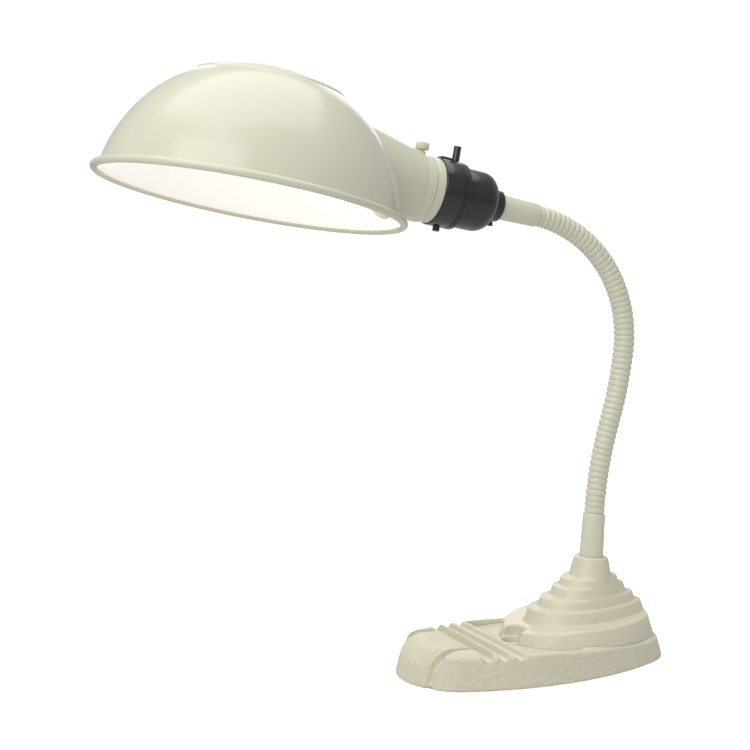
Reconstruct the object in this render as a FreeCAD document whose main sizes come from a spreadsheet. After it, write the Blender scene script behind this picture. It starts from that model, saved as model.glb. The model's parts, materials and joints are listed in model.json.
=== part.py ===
import FreeCAD, Part
import math
import os

import Sketcher

# Gooseneck desk lamp with a dome shade, in millimetres.
# +Z is up and the table is at Z = 0. The stem stands over the origin, the base reaches
# forward along -X, and the lamp is symmetric about the XZ plane.

V = FreeCAD.Vector

# ---------------------------------------------------------------- driving dimensions
# One named size each. Angles are in degrees, everything else is in millimetres.

SIZES = {
    # gooseneck centre line, from the lower ferrule up: arcs that bend back (+) or forward (-)
    "stem_lean": 3.8,
    "neck_arc1_radius": 286.0,
    "neck_arc1_turn": 13.7,
    "neck_arc2_radius": 274.0,
    "neck_arc2_turn": -10.7,
    "neck_arc3_radius": 84.5,
    "neck_arc3_turn": -63.8,
    "neck_arc4_radius": 99.0,
    "neck_arc4_turn": -22.8,
    "neck_rib_radius": 7.3,
    "neck_root_radius": 6.6,
    "neck_bore_radius": 2.6,
    "neck_ball_radius": 4.3,
    "neck_cup_clearance": 0.35,
    "neck_joint_gap": 1.2,
    # ferrules, the same part at both ends of the gooseneck
    "ferrule_length": 31.3,
    "ferrule_wide_radius": 8.6,
    "ferrule_narrow_radius": 7.9,
    "ferrule_edge": 0.8,
    # base casting, outline on the table
    "foot_front": 152.5,
    "foot_back": 53.7,
    "foot_half_width": 53.5,
    "foot_widest": 52.0,
    "foot_front_radius": 44.0,
    "foot_back_radius": 40.0,
    "foot_draft": 15.0,
    "foot_lift": 0.4,
    "deck_front_height": 24.5,
    "deck_back_height": 17.6,
    "nose_radius": 20.0,
    "nose_run": 24.5,
    "nose_face_height": 7.5,
    "nose_face_inset": 2.2,
    "nose_face_slope": 0.283,
    "shoulder_setback": 6.0,
    "casting_wall": 5.0,
    # tray behind the pen rests
    "tray_floor_height": 17.2,
    "tray_rim": 4.0,
    "tray_front": 79.5,
    "tray_corner_radius": 10.0,
    # three pen rests across the front
    "rest_radius": 4.0,
    "rest_floor_height": 18.9,
    "rest_first": 85.6,
    "rest_pitch": 10.9,
    "rest_count": 3,
    # ribs that wrap over the nose
    "flute_pitch": 5.2,
    "flute_width": 2.4,
    "flute_depth": 1.2,
    "flute_count": 8,
    "side_flute_width": 6.0,
    "side_flute_depth": 2.8,
    # well and bare raised pad in the tray
    "well_x": 66.5,
    "well_y": -1.5,
    "well_radius": 7.4,
    "well_lip": 1.9,
    "well_lip_height": 2.2,
    "well_depth": 2.4,
    "well_clear": 0.5,
    "ramp_top": 35.0,
    "ramp_edge": 65.0,
    "ramp_fall": 3.7,
    "ramp_foot": 73.5,
    "ramp_half_width": 40.0,
    "strip_x": 74.2,
    "strip_width": 6.0,
    "strip_start": 9.0,
    "strip_length": 24.0,
    "strip_height": 0.9,
    # stepped mound under the stem: top edge of each step
    "step4_top": 30.3, "step4_front": 66.5, "step4_back": 43.5, "step4_half": 40.0, "step4_widest": 22.0,
    "step4_front_radius": 30.0, "step4_back_radius": 28.0,
    "step3_top": 38.8, "step3_front": 49.5, "step3_back": 41.0, "step3_half": 24.5, "step3_widest": 18.0,
    "step3_front_radius": 18.0, "step3_back_radius": 11.0,
    "step2_top": 45.6, "step2_front": 40.0, "step2_back": 34.0, "step2_half": 20.0, "step2_widest": 15.0,
    "step2_front_radius": 15.0, "step2_back_radius": 9.0,
    "step1_top": 53.0, "step1_front": 29.5, "step1_back": 26.0, "step1_half": 17.0, "step1_widest": 12.0,
    "step1_front_radius": 13.0, "step1_back_radius": 8.0,
    "step0_top": 59.0, "step0_front": 23.0, "step0_back": 19.5, "step0_half": 15.0, "step0_widest": 7.0,
    "step0_front_radius": 12.0, "step0_back_radius": 11.0,
    "step_draft": 17.0,
    "mound_foot": 13.5,
    "step_sink": 4.0,
    "collar_top": 72.8,
    "collar_top_radius": 12.3,
    "collar_spread": 3.4,
    "collar_low": 16.0,
    "collar_edge": 0.9,
    # hollow under the casting
    "hollow_inset": 8.5,
    "hollow_roof": 12.0,
    "hollow4_inset": 10.0,
    "hollow4_roof": 24.0,
    "hollow3_inset": 7.0,
    "hollow3_roof": 32.0,
    "stem_grip": 26.5,
    "stem_cavity_radius": 14.0,
    # threaded nipples, the same size under the stem and behind the socket
    "nipple_radius": 4.9,
    "nipple_bore": 3.4,
    "nipple_fit": 0.05,
    "nipple_engagement": 14.0,
    "nipple_tail": 2.0,
    "nut_half_flats": 8.0,
    "nut_height": 4.0,
    "washer_radius": 10.5,
    "washer_thickness": 1.2,
    # cover, felt and their screws
    "cover_inset": 3.2,
    "cover_gap": 0.3,
    "cover_thickness": 1.5,
    "felt_thickness": 2.0,
    "felt_gap": 1.2,
    "cover_screw_radius": 2.0,
    "cover_screw_length": 9.0,
    "cover_screw_head": 3.6,
    "cover_screw_head_height": 1.6,
    "cover_screw_fit": 0.05,
    "cover_boss_radius": 5.0,
    "cover_boss_front": 112.0,
    "cover_boss_front_side": 24.0,
    "cover_boss_back": 18.0,
    "cover_boss_back_side": 30.0,
    # cord inlet at the back
    "inlet_height": 10.0,
    "inlet_seat": 48.6,
    "inlet_radius": 3.9,
    "inlet_flange_radius": 5.4,
    "inlet_flange": 2.0,
    "inlet_bore": 2.6,
    "inlet_length": 7.5,
    # socket, measured along its axis from the ring's front face towards the gooseneck
    "ring_width": 6.6,
    "ring_radius": 21.9,
    "edge": 0.5,
    "sleeve_radius": 21.0,
    "sleeve_bore": 19.7,
    "sleeve_length": 10.5,
    "sleeve_channel_floor": 20.1,
    "sleeve_channel_half": 2.3,
    "body_end": 25.0,
    "body_radius": 22.7,
    "body_bore": 17.0,
    "body_line1": 19.9,
    "body_line2": 21.9,
    "body_line_width": 0.7,
    "body_line_depth": 0.5,
    "body_flat_end": 17.0,
    "body_flat_half": 6.0,
    "body_flat_height": 23.4,
    "nose_start": 13.0,
    "nose_outer": 19.6,
    "cap_end": 52.4,
    "cap_radius": 20.5,
    "cap_shoulder": 12.5,
    "cap_wall": 2.4,
    "cap_collar_radius": 10.8,
    "cap_collar_end": 58.2,
    "core_front": 9.2,
    "core_thickness": 2.4,
    "core_radius": 16.7,
    "core_hole": 1.6,
    "shell_radius": 13.9,
    "shell_wall": 0.5,
    "shell_start": 14.0,
    "shell_hole": 5.5,
    "rivet_head_radius": 3.0,
    "rivet_head": 0.8,
    "rivet_tail": 1.0,
    "terminal_side": 11.0,
    "terminal_radius": 2.2,
    "terminal_height": 2.0,
    "rod_radius": 2.55,
    "rod_fit": 0.35,
    "rod_place": 20.7,
    "rod_top": 33.0,
    "stub_radius": 2.4,
    "stub_place": 14.5,
    "stub_end": 25.8,
    "carriage_half": 1.8,
    "carriage_side": 4.0,
    "blade_thickness": 0.8,
    "blade_length": 9.0,
    "set_screw_place": 54.2,
    "set_screw_radius": 1.6,
    "set_screw_head": 2.1,
    "set_screw_reach": 14.2,
    "set_screw_head_start": 12.0,
    # shade
    "ring_place": 116.0,
    "shade_axis_height": 33.0,
    "mouth_cant": 0.9,
    "bead_radius": 2.4,
    "bead_offset": 1.8,
    "dome_radius": 96.4,
    "dome_sink": 10.8,
    "dome_wall": 1.0,
    "cap_step_radius": 48.6,
    "cap_step_run": 0.9,
    "cap_step_rise": 1.0,
    "cap_lift": 0.3,
    "neck_slope": 0.23,
    "neck_cone_end": 8.0,
    "neck_cone_radius": 23.2,
    "neck_cone_length": 62.0,
    "neck_step": 0.6,
    "neck_end_gap": 0.4,
    "neck_wall": 1.2,
    "neck_bore": 21.4,
    "thumb_place": 5.2,
    "thumb_radius": 1.65,
    "thumb_fit": 0.05,
    "thumb_tip": 20.5,
    "thumb_head_start": 25.2,
    "thumb_head_radius": 4.5,
    "thumb_head_end": 29.7,
    "boss_radius": 2.9,
    "boss_top": 23.9,
    "boss_fit": 0.03,
    # bulb: clear pear shape on a 26 mm Edison cap
    "bulb_cap_start": 18.0,
    "bulb_cap_end": 6.0,
    "bulb_cap_radius": 13.0,
    "bulb_thread_depth": 0.7,
    "bulb_thread_pitch": 3.63,
    "bulb_thread_start": 12.0,
    "bulb_cap_wall": 0.4,
    "bulb_button": 8.2,
    "bulb_button_radius": 4.8,
    "bulb_insulator_end": 7.4,
    "bulb_insulator_radius": 7.0,
    "bulb_neck_radius": 12.6,
    "bulb_neck_end": 28.0,
    "bulb_radius": 27.5,
    "bulb_centre": 61.5,
    "bulb_tangent_radius": 24.12,
    "bulb_tangent_rise": 13.21,
    "bulb_wall": 0.8,
}

# counts that shape the gooseneck
LINKS = 12
RIBS_PER_LINK = 5

doc = FreeCAD.newDocument("desk_lamp")
sheet = doc.addObject("Spreadsheet::Sheet", "Sizes")
for row, (alias, size) in enumerate(SIZES.items(), start=1):
    sheet.set(f"A{row}", alias.replace("_", " "))
    sheet.set(f"B{row}", str(size))
    sheet.setAlias(f"B{row}", alias)
doc.recompute()


class Dim:
    """A length that knows both its number and the sheet expression behind it."""

    def __init__(self, value, text):
        self.value = value
        self.text = text

    def _with(self, other, sign, swap=False):
        if not isinstance(other, Dim):
            other = Dim(float(other), repr(float(other)))
        left, right = (other, self) if swap else (self, other)
        results = {
            "+": lambda: left.value + right.value,
            "-": lambda: left.value - right.value,
            "*": lambda: left.value * right.value,
            "/": lambda: left.value / right.value,
        }
        return Dim(results[sign](), f"({left.text} {sign} {right.text})")

    def __add__(self, other):
        return self._with(other, "+")

    def __radd__(self, other):
        return self._with(other, "+", swap=True)

    def __sub__(self, other):
        return self._with(other, "-")

    def __rsub__(self, other):
        return self._with(other, "-", swap=True)

    def __mul__(self, other):
        return self._with(other, "*")

    def __rmul__(self, other):
        return self._with(other, "*", swap=True)

    def __truediv__(self, other):
        return self._with(other, "/")

    def __neg__(self):
        return Dim(-self.value, f"(0 - {self.text})")


class Sheet:
    """d.name is the Dim of the sheet's cell with that alias."""

    def __getattr__(self, alias):
        return Dim(float(sheet.get(alias)), f"Sizes.{alias}")


d = Sheet()
ZERO = Dim(0.0, "0")


def root(size):
    return Dim(math.sqrt(size.value), f"sqrt({size.text})")


def number(size):
    return size.value if isinstance(size, Dim) else float(size)


def bind(thing, prop, size):
    """Set a property from a Dim and keep it bound to the sheet."""
    thing.setExpression(prop, size.text)


# ---------------------------------------------------------------- sketch helpers

def new_body(name):
    body = doc.addObject("PartDesign::Body", name)
    body.Label = name
    return body


def origin_plane(body, role):
    for feature in body.Origin.OriginFeatures:
        if feature.Role == role:
            return feature
    raise ValueError(role)


def new_sketch(body, name, role="XY_Plane", height=None, flip=False):
    """A sketch on one of the body's origin planes, raised by height along its normal."""
    sketch = body.newObject("Sketcher::SketchObject", name)
    sketch.AttachmentSupport = [(origin_plane(body, role), "")]
    sketch.MapMode = "FlatFace"
    if height is not None:
        sketch.AttachmentOffset = FreeCAD.Placement(V(0, 0, number(height)), FreeCAD.Rotation())
        bind(sketch, "AttachmentOffset.Base.z", height)
    return sketch


def pin_point(sketch, geometry, place, x, y):
    """Hold one vertex at (x, y), each bound to the sheet; 0 means on the axis, None is free."""
    for kind, size, axis in (("DistanceX", x, -2), ("DistanceY", y, -1)):
        if size is None:
            continue
        if abs(number(size)) < 1e-9:
            sketch.addConstraint(Sketcher.Constraint("PointOnObject", geometry, place, axis))
            continue
        index = sketch.addConstraint(
            Sketcher.Constraint(kind, -1, 1, geometry, place, number(size)))
        bind(sketch, f"Constraints[{index}]", size)


def arc_through(start, end, radius, bulge):
    """Arc of the given radius; bulge +1 keeps its centre left of the way from start to end."""
    chord = end - start
    half = chord.Length / 2
    rise = math.sqrt(max(radius ** 2 - half ** 2, 0))
    side = V(-chord.y, chord.x, 0).normalize() * bulge
    centre = (start + end) / 2 + side * rise
    first, last = (start, end) if bulge > 0 else (end, start)
    angle = [math.atan2(p.y - centre.y, p.x - centre.x) for p in (first, last)]
    if angle[1] < angle[0]:
        angle[1] += 2 * math.pi
    return Part.ArcOfCircle(Part.Circle(centre, V(0, 0, 1), radius), angle[0], angle[1])


CENTRED = "centre on the axis"


def draw(sketch, outline):
    """Closed outline. An entry is (x, y), or (x, y, radius, bulge) for an arc leading to it.

    A fifth entry, CENTRED, holds the arc's centre on the sketch's vertical axis.
    """
    corners = [V(number(p[0]), number(p[1]), 0) for p in outline]
    count = len(outline)
    ends = []
    for i in range(count):
        step = outline[(i + 1) % count]
        start, end = corners[i], corners[(i + 1) % count]
        if len(step) == 2:
            index = sketch.addGeometry(Part.LineSegment(start, end), False)
            ends.append((index, 1, 2))
        else:
            index = sketch.addGeometry(arc_through(start, end, number(step[2]), step[3]), False)
            ends.append((index, 1, 2) if step[3] > 0 else (index, 2, 1))
            if len(step) == 5:
                # the centre is on the axis that the outline turns about
                sketch.addConstraint(Sketcher.Constraint("PointOnObject", index, 3, -2))
            elif abs((end - start).Length - 2 * number(step[2])) < 1e-6:
                # a level half circle: its centre is as high as its ends
                pin_point(sketch, index, 3, None, step[1])
            else:
                radius = sketch.addConstraint(Sketcher.Constraint("Radius", index, number(step[2])))
                bind(sketch, f"Constraints[{radius}]", step[2])
    for i in range(count):
        before = ends[i - 1]
        here = ends[i]
        sketch.addConstraint(
            Sketcher.Constraint("Coincident", before[0], before[2], here[0], here[1]))
        pin_point(sketch, here[0], here[1], outline[i][0], outline[i][1])
    return sketch


def draw_circle(sketch, x, y, radius):
    centre = V(number(x), number(y), 0)
    index = sketch.addGeometry(Part.Circle(centre, V(0, 0, 1), number(radius)), False)
    pin_point(sketch, index, 3, x, y)
    size = sketch.addConstraint(Sketcher.Constraint("Radius", index, number(radius)))
    bind(sketch, f"Constraints[{size}]", radius)


def oval(front, back, half, widest, front_radius, back_radius, inset=ZERO):
    """Egg-shaped outline of six tangent arcs, front towards -X. inset draws it in all round."""
    half = half - inset
    outline = []
    nose = {}
    for name, reach, radius, sign in (("front", front, front_radius, -1), ("back", back, back_radius, 1)):
        radius = radius - inset
        centre = sign * (reach - inset - radius)
        away = centre + widest
        drop = half - radius
        k = (away * away - drop * drop) / (2.0 * drop)
        side = half + k
        reach_out = radius / (side - radius)
        nose[name] = (centre + reach_out * away, reach_out * k, radius, side)
    fx, fy, fr, fs = nose["front"]
    bx, by, br, bs = nose["back"]
    outline.append((fx, fy, fs, 1))
    outline.append((fx, -fy, fr, 1))
    outline.append((-widest, -half, fs, 1))
    outline.append((bx, -by, bs, 1))
    outline.append((bx, by, br, 1))
    outline.append((-widest, half, bs, 1))
    return outline


# ---------------------------------------------------------------- feature helpers

def pad(body, sketch, length, reverse=False, taper=None):
    feature = body.newObject("PartDesign::Pad", sketch.Name + "_pad")
    feature.Profile = sketch
    feature.Reversed = reverse
    bind(feature, "Length", length)
    if taper is not None:
        bind(feature, "TaperAngle", taper)
    return feature


def pocket(body, sketch, length=None, reverse=False, midplane=False, taper=None):
    """Cut along the sketch; the volume must go down, or the cut points away from the solid."""
    doc.recompute()
    before = body.Shape.Volume
    feature = body.newObject("PartDesign::Pocket", sketch.Name + "_cut")
    feature.Profile = sketch
    if length is None:
        feature.Type = "ThroughAll"
    else:
        bind(feature, "Length", length)
    feature.Reversed = reverse
    if midplane:
        feature.SideType = "Symmetric"
    if taper is not None:
        bind(feature, "TaperAngle", taper)
    doc.recompute()
    if body.Shape.Volume >= before - 1e-6:
        raise ValueError(f"{feature.Name} cuts nothing")
    return feature


def turned(name, outline):
    """A body of revolution about its own Z axis. Outline points are (radius, height)."""
    body = new_body(name)
    add_turning(body, name + "_profile", outline)
    return body


def add_turning(body, name, outline):
    sketch = draw(new_sketch(body, name, "XZ_Plane"), outline)
    feature = body.newObject("PartDesign::Revolution", name + "_turned")
    feature.Profile = sketch
    feature.ReferenceAxis = (sketch, ["V_Axis"])
    feature.Angle = 360
    doc.recompute()
    return feature


def tube_outline(outer, inner, low, high):
    return [(inner, low), (outer, low), (outer, high), (inner, high)]


def box_outline(x0, x1, y0, y1):
    return [(x0, y0), (x1, y0), (x1, y1), (x0, y1)]


nodes = {}


def keep(name, thing, placement=None):
    """File a finished piece under its node name, in its place on the lamp."""
    if placement is not None:
        thing.Placement = placement
    thing.Label = name
    nodes[name] = thing
    return thing


def cut_with(name, body, tools):
    """Boolean cut of a body by helper solids that are placed in the same local frame."""
    cut = doc.addObject("Part::Cut", name)
    cut.Base = body
    if len(tools) == 1:
        cut.Tool = tools[0]
    else:
        fuse = doc.addObject("Part::MultiFuse", name + "_tools")
        fuse.Shapes = tools
        cut.Tool = fuse
    doc.recompute()
    return cut


# ---------------------------------------------------------------- places on the lamp

def heading(angle):
    """Unit vector in the XZ plane, leaning back from +Z by angle in degrees."""
    a = math.radians(angle)
    return V(math.sin(a), 0, math.cos(a))


def lean_frame(origin, lean, half_turn=False):
    """Placement whose Z axis leans back by lean; half_turn spins it so that X points up."""
    turn = FreeCAD.Rotation(V(0, 1, 0), lean)
    if half_turn:
        turn = turn.multiply(FreeCAD.Rotation(V(0, 0, 1), 180))
    return FreeCAD.Placement(origin, turn)


class CentreLine:
    """The gooseneck's centre line: tangent arcs in the XZ plane, by distance along it."""

    def __init__(self, start, lean, arcs):
        self.pieces = []
        point, angle, along = start, lean, 0.0
        for radius, turn in arcs:
            length = radius * math.radians(abs(turn))
            self.pieces.append((along, length, point, angle, radius, turn))
            point = self._point(point, angle, radius, turn, 1.0)
            angle += turn
            along += length
        self.length = along

    @staticmethod
    def _point(point, angle, radius, turn, share):
        side = 1 if turn > 0 else -1
        centre = point + heading(angle + 90) * radius * side
        return centre - heading(angle + turn * share + 90) * radius * side

    def at(self, along):
        """Point and lean angle at a distance along the line."""
        for begin, length, point, angle, radius, turn in self.pieces:
            last = begin + length >= self.length - 1e-9
            if along <= begin + length or last:
                share = (along - begin) / length
                return self._point(point, angle, radius, turn, share), angle + turn * share
        raise ValueError(along)


stem_lean = number(d.stem_lean)
stem_foot = V(0, 0, number(d.collar_top))
stem_place = lean_frame(stem_foot, stem_lean)
stem_top = stem_place.multVec(V(0, 0, number(d.ferrule_length)))
NECK_ARCS = [(number(getattr(d, f"neck_arc{i}_radius")), number(getattr(d, f"neck_arc{i}_turn")))
             for i in (1, 2, 3, 4)]
line = CentreLine(stem_top, stem_lean, NECK_ARCS)
neck_end, neck_end_lean = line.at(line.length)

# The socket's own frame: local Z points from the shade back along the axis to the gooseneck,
# local X points up from the axis, and Z = 0 is the front face of the cream ring.
ring_front = neck_end + heading(neck_end_lean) * number(d.cap_collar_end + d.ferrule_length)
socket_place = lean_frame(ring_front, neck_end_lean + 180, half_turn=True)

# The shade's frame: origin at the middle of its mouth, local Z up through the dome.
shade_lean = neck_end_lean + 90 + number(d.mouth_cant)
mouth_centre = (socket_place.multVec(V(0, 0, -number(d.ring_place)))
                - heading(shade_lean) * number(d.shade_axis_height))
shade_place = lean_frame(mouth_centre, shade_lean)


# ---------------------------------------------------------------- base

def deck_height(x_forward):
    """Height of the sloping deck at a distance forward of the stem."""
    run = d.foot_front - d.foot_front_radius
    rise = d.deck_front_height - d.deck_back_height
    return d.deck_back_height + rise * x_forward / run


def foot_outline(inset):
    return oval(d.foot_front, d.foot_back, d.foot_half_width, d.foot_widest,
                d.foot_front_radius, d.foot_back_radius, inset)


def step_outline(i, inset=ZERO):
    names = ("front", "back", "half", "widest", "front_radius", "back_radius")
    return oval(*[getattr(d, f"step{i}_{name}") for name in names], inset)


# how far a cutting outline runs past what it cuts
CUT_MARGIN = Dim(12.0, "12")


def nose_setback(aside):
    """How far the front arc of the foot has gone back at a distance from the middle."""
    reach = d.foot_front_radius
    return reach - root(reach * reach - aside * aside)


def nose_outline(depth, setback, back_x=None):
    """Everything above the nose in side view, sunk by depth and moved back by setback.

    It goes on above the sunk deck as far as back_x, or ends where the nose meets the deck."""
    face_x, face_z = -(d.foot_front - depth - d.nose_face_inset - setback), d.nose_face_height
    top_x = -(d.foot_front - d.nose_run - setback)
    low = face_z - CUT_MARGIN
    outline = [(-(d.foot_front + CUT_MARGIN), low),
               (face_x - CUT_MARGIN * d.nose_face_slope, low),
               (face_x, face_z),
               (top_x, deck_height(-top_x) - depth, d.nose_radius, -1)]
    if back_x is not None:
        outline.append((back_x, deck_height(-back_x) - depth))
    above = d.deck_front_height + CUT_MARGIN
    outline.append((outline[-1][0], above))
    outline.append((-(d.foot_front + CUT_MARGIN), above))
    return outline


def tray_outline(rim):
    """The rim oval with its front squared off at the last pen rest."""
    bx, by, back_side, _ = rim[3]
    front_side, back_radius = rim[0][2], rim[4][2]
    widest, half = rim[5][0], rim[5][1]
    front = -d.tray_front
    corner = root(front_side * front_side - (widest - front) * (widest - front)) - (front_side - half)
    return [(front, corner, front_side, 1),
            (front, -corner),
            (widest, -half, front_side, 1),
            (bx, by, back_side, 1),
            (bx, -by, back_radius, 1),
            (widest, half, back_side, 1)]


def across(body, name, outline, place=ZERO, width=None):
    """Cut a side-view outline through the body, centred at y = place."""
    sketch = draw(new_sketch(body, name, "XZ_Plane", height=-place), outline)
    pocket(body, sketch, width or d.foot_half_width * 4.0, midplane=True)


def round_pocket(body, name, x, y, radius, height, length, up=True):
    sketch = new_sketch(body, name, height=height)
    draw_circle(sketch, x, y, radius)
    pocket(body, sketch, length, reverse=up)


def round_pad(body, name, x, y, radius, height, length):
    sketch = new_sketch(body, name, height=height)
    draw_circle(sketch, x, y, radius)
    return pad(body, sketch, length)


COVER_BOSSES = [(-d.cover_boss_front, side * d.cover_boss_front_side) for side in (-1, 1)]
COVER_BOSSES += [(d.cover_boss_back, side * d.cover_boss_back_side) for side in (-1, 1)]
cover_bottom = d.felt_thickness
cover_top = d.felt_thickness + d.cover_thickness


def make_well(body):
    """Round well with a lip, cut clear of the ramp, and a raised strip beside it."""
    floor, lip = d.tray_floor_height, d.tray_floor_height + d.well_lip_height
    outside = d.well_radius + d.well_lip
    round_pocket(body, "well_room", -d.well_x, d.well_y, outside + d.well_clear, floor, d.step4_top)
    round_pad(body, "well_lip", -d.well_x, d.well_y, outside, floor - 1.0, d.well_lip_height + 1.0)
    round_pocket(body, "well", -d.well_x, d.well_y, d.well_radius,
                 floor - d.well_depth, lip + d.well_depth)
    strip = new_sketch(body, "strip", height=floor - 1.0)
    draw(strip, box_outline(-d.strip_x - d.strip_width / 2.0, -d.strip_x + d.strip_width / 2.0,
                            d.strip_start, d.strip_start + d.strip_length))
    pad(body, strip, d.strip_height + 1.0)


def make_nose(body):
    """Rounds the front over in strips that step back round the foot's arc: ridges with fine
    flutes between them, a deep flute at each side, and a plain shoulder outside that."""
    last_rest = -(d.rest_first + d.rest_pitch * (d.rest_count - 1.0))
    ridge_width = d.flute_pitch - d.flute_width
    strips = int(number(d.flute_count))
    for i in range(strips + 1):
        place = (i - strips / 2) * d.flute_pitch
        across(body, f"ridge{i}", nose_outline(ZERO, nose_setback(place)), place,
               ridge_width + d.flute_width / 3.0)
    for i in range(strips):
        place = (i - (strips - 1) / 2) * d.flute_pitch
        across(body, f"flute{i}", nose_outline(d.flute_depth, nose_setback(place), last_rest),
               place, d.flute_width)
    inner = d.flute_pitch * (strips / 2) + ridge_width / 2.0
    shoulder_width = d.foot_half_width
    for side in (-1, 1):
        place = side * (inner + d.side_flute_width * 0.8 + shoulder_width / 2.0)
        across(body, f"shoulder{side + 1}", nose_outline(ZERO, d.shoulder_setback), place,
               shoulder_width)
        place = side * (inner + d.side_flute_width / 2.0)
        across(body, f"side_flute{side + 1}",
               nose_outline(d.side_flute_depth, nose_setback(place), last_rest),
               place, d.side_flute_width)


def make_casting_body():
    body = new_body("base_casting_body")
    foot = draw(new_sketch(body, "foot", height=d.foot_lift), foot_outline(ZERO))
    pad(body, foot, d.deck_front_height + 4.0, taper=-d.foot_draft)
    behind = d.foot_back + CUT_MARGIN
    across(body, "deck", [(-(d.foot_front + CUT_MARGIN), deck_height(d.foot_front + CUT_MARGIN)),
                          (behind, deck_height(-behind)),
                          (behind, d.deck_front_height * 2.0),
                          (-(d.foot_front + CUT_MARGIN), d.deck_front_height * 2.0)])
    make_nose(body)

    # pen rests: round-bottomed channels right across
    for i in range(int(number(d.rest_count))):
        x = -(d.rest_first + d.rest_pitch * i)
        low = d.rest_floor_height + d.rest_radius
        high = d.deck_front_height + 10.0
        across(body, f"rest{i}", [(x - d.rest_radius, low),
                                  (x + d.rest_radius, low, d.rest_radius, 1),
                                  (x + d.rest_radius, high),
                                  (x - d.rest_radius, high)])

    # tray
    rim = foot_outline(d.tray_rim + 5.4)
    tray = draw(new_sketch(body, "tray", height=d.tray_floor_height), tray_outline(rim))
    pocket(body, tray, d.deck_front_height, reverse=True)

    # stepped mound: each step spreads downwards from its top edge. The lowest one has a
    # ramp down to the tray, with a round well let into it.
    for i in (4, 3, 2, 1, 0):
        top = getattr(d, f"step{i}_top")
        below = d.mound_foot if i == 4 else getattr(d, f"step{i + 1}_top") - d.step_sink
        sketch = draw(new_sketch(body, f"step{i}", height=top), step_outline(i))
        pad(body, sketch, top - below, reverse=True, taper=d.step_draft)
        if i == 4:
            across(body, "ramp", [(-d.ramp_foot, d.tray_floor_height),
                                  (-d.ramp_edge, top - d.ramp_fall),
                                  (-d.ramp_top, top),
                                  (-d.ramp_top, top * 2.0),
                                  (-d.ramp_foot, top * 2.0)], width=d.ramp_half_width * 2.0)
            make_well(body)

    # hollow from below, in steps that follow the mound
    hollows = [("cover_recess", foot_outline(d.cover_inset), d.foot_lift, cover_top),
               ("hollow", foot_outline(d.hollow_inset), cover_top - 0.5, d.hollow_roof),
               ("hollow4", step_outline(4, d.hollow4_inset), d.hollow_roof - 1.0, d.hollow4_roof),
               ("hollow3", step_outline(3, d.hollow3_inset), d.hollow4_roof - 1.0, d.hollow3_roof)]
    for name, outline, low, high in hollows:
        sketch = draw(new_sketch(body, name, height=low), outline)
        pocket(body, sketch, high - low, reverse=True)
    for i, (x, y) in enumerate(COVER_BOSSES):
        round_pad(body, f"cover_boss{i}", x, y, d.cover_boss_radius, cover_top,
                  d.hollow_roof - cover_top + 1.0)
    for i, (x, y) in enumerate(COVER_BOSSES):
        round_pocket(body, f"cover_pilot{i}", x, y, d.cover_screw_radius + d.cover_screw_fit,
                     cover_top - 1.0, d.cover_screw_length)

    # cord inlet: a flat seat and a bore through the back wall
    for name, radius, reach in (("inlet_seat_face", d.inlet_flange_radius + 0.15, d.inlet_seat),
                                ("inlet_hole", d.inlet_radius + 0.1, d.inlet_seat - 12.0)):
        sketch = new_sketch(body, name, "YZ_Plane", height=reach)
        draw_circle(sketch, ZERO, d.inlet_height, radius)
        pocket(body, sketch, d.foot_back, reverse=True)
    return body


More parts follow.
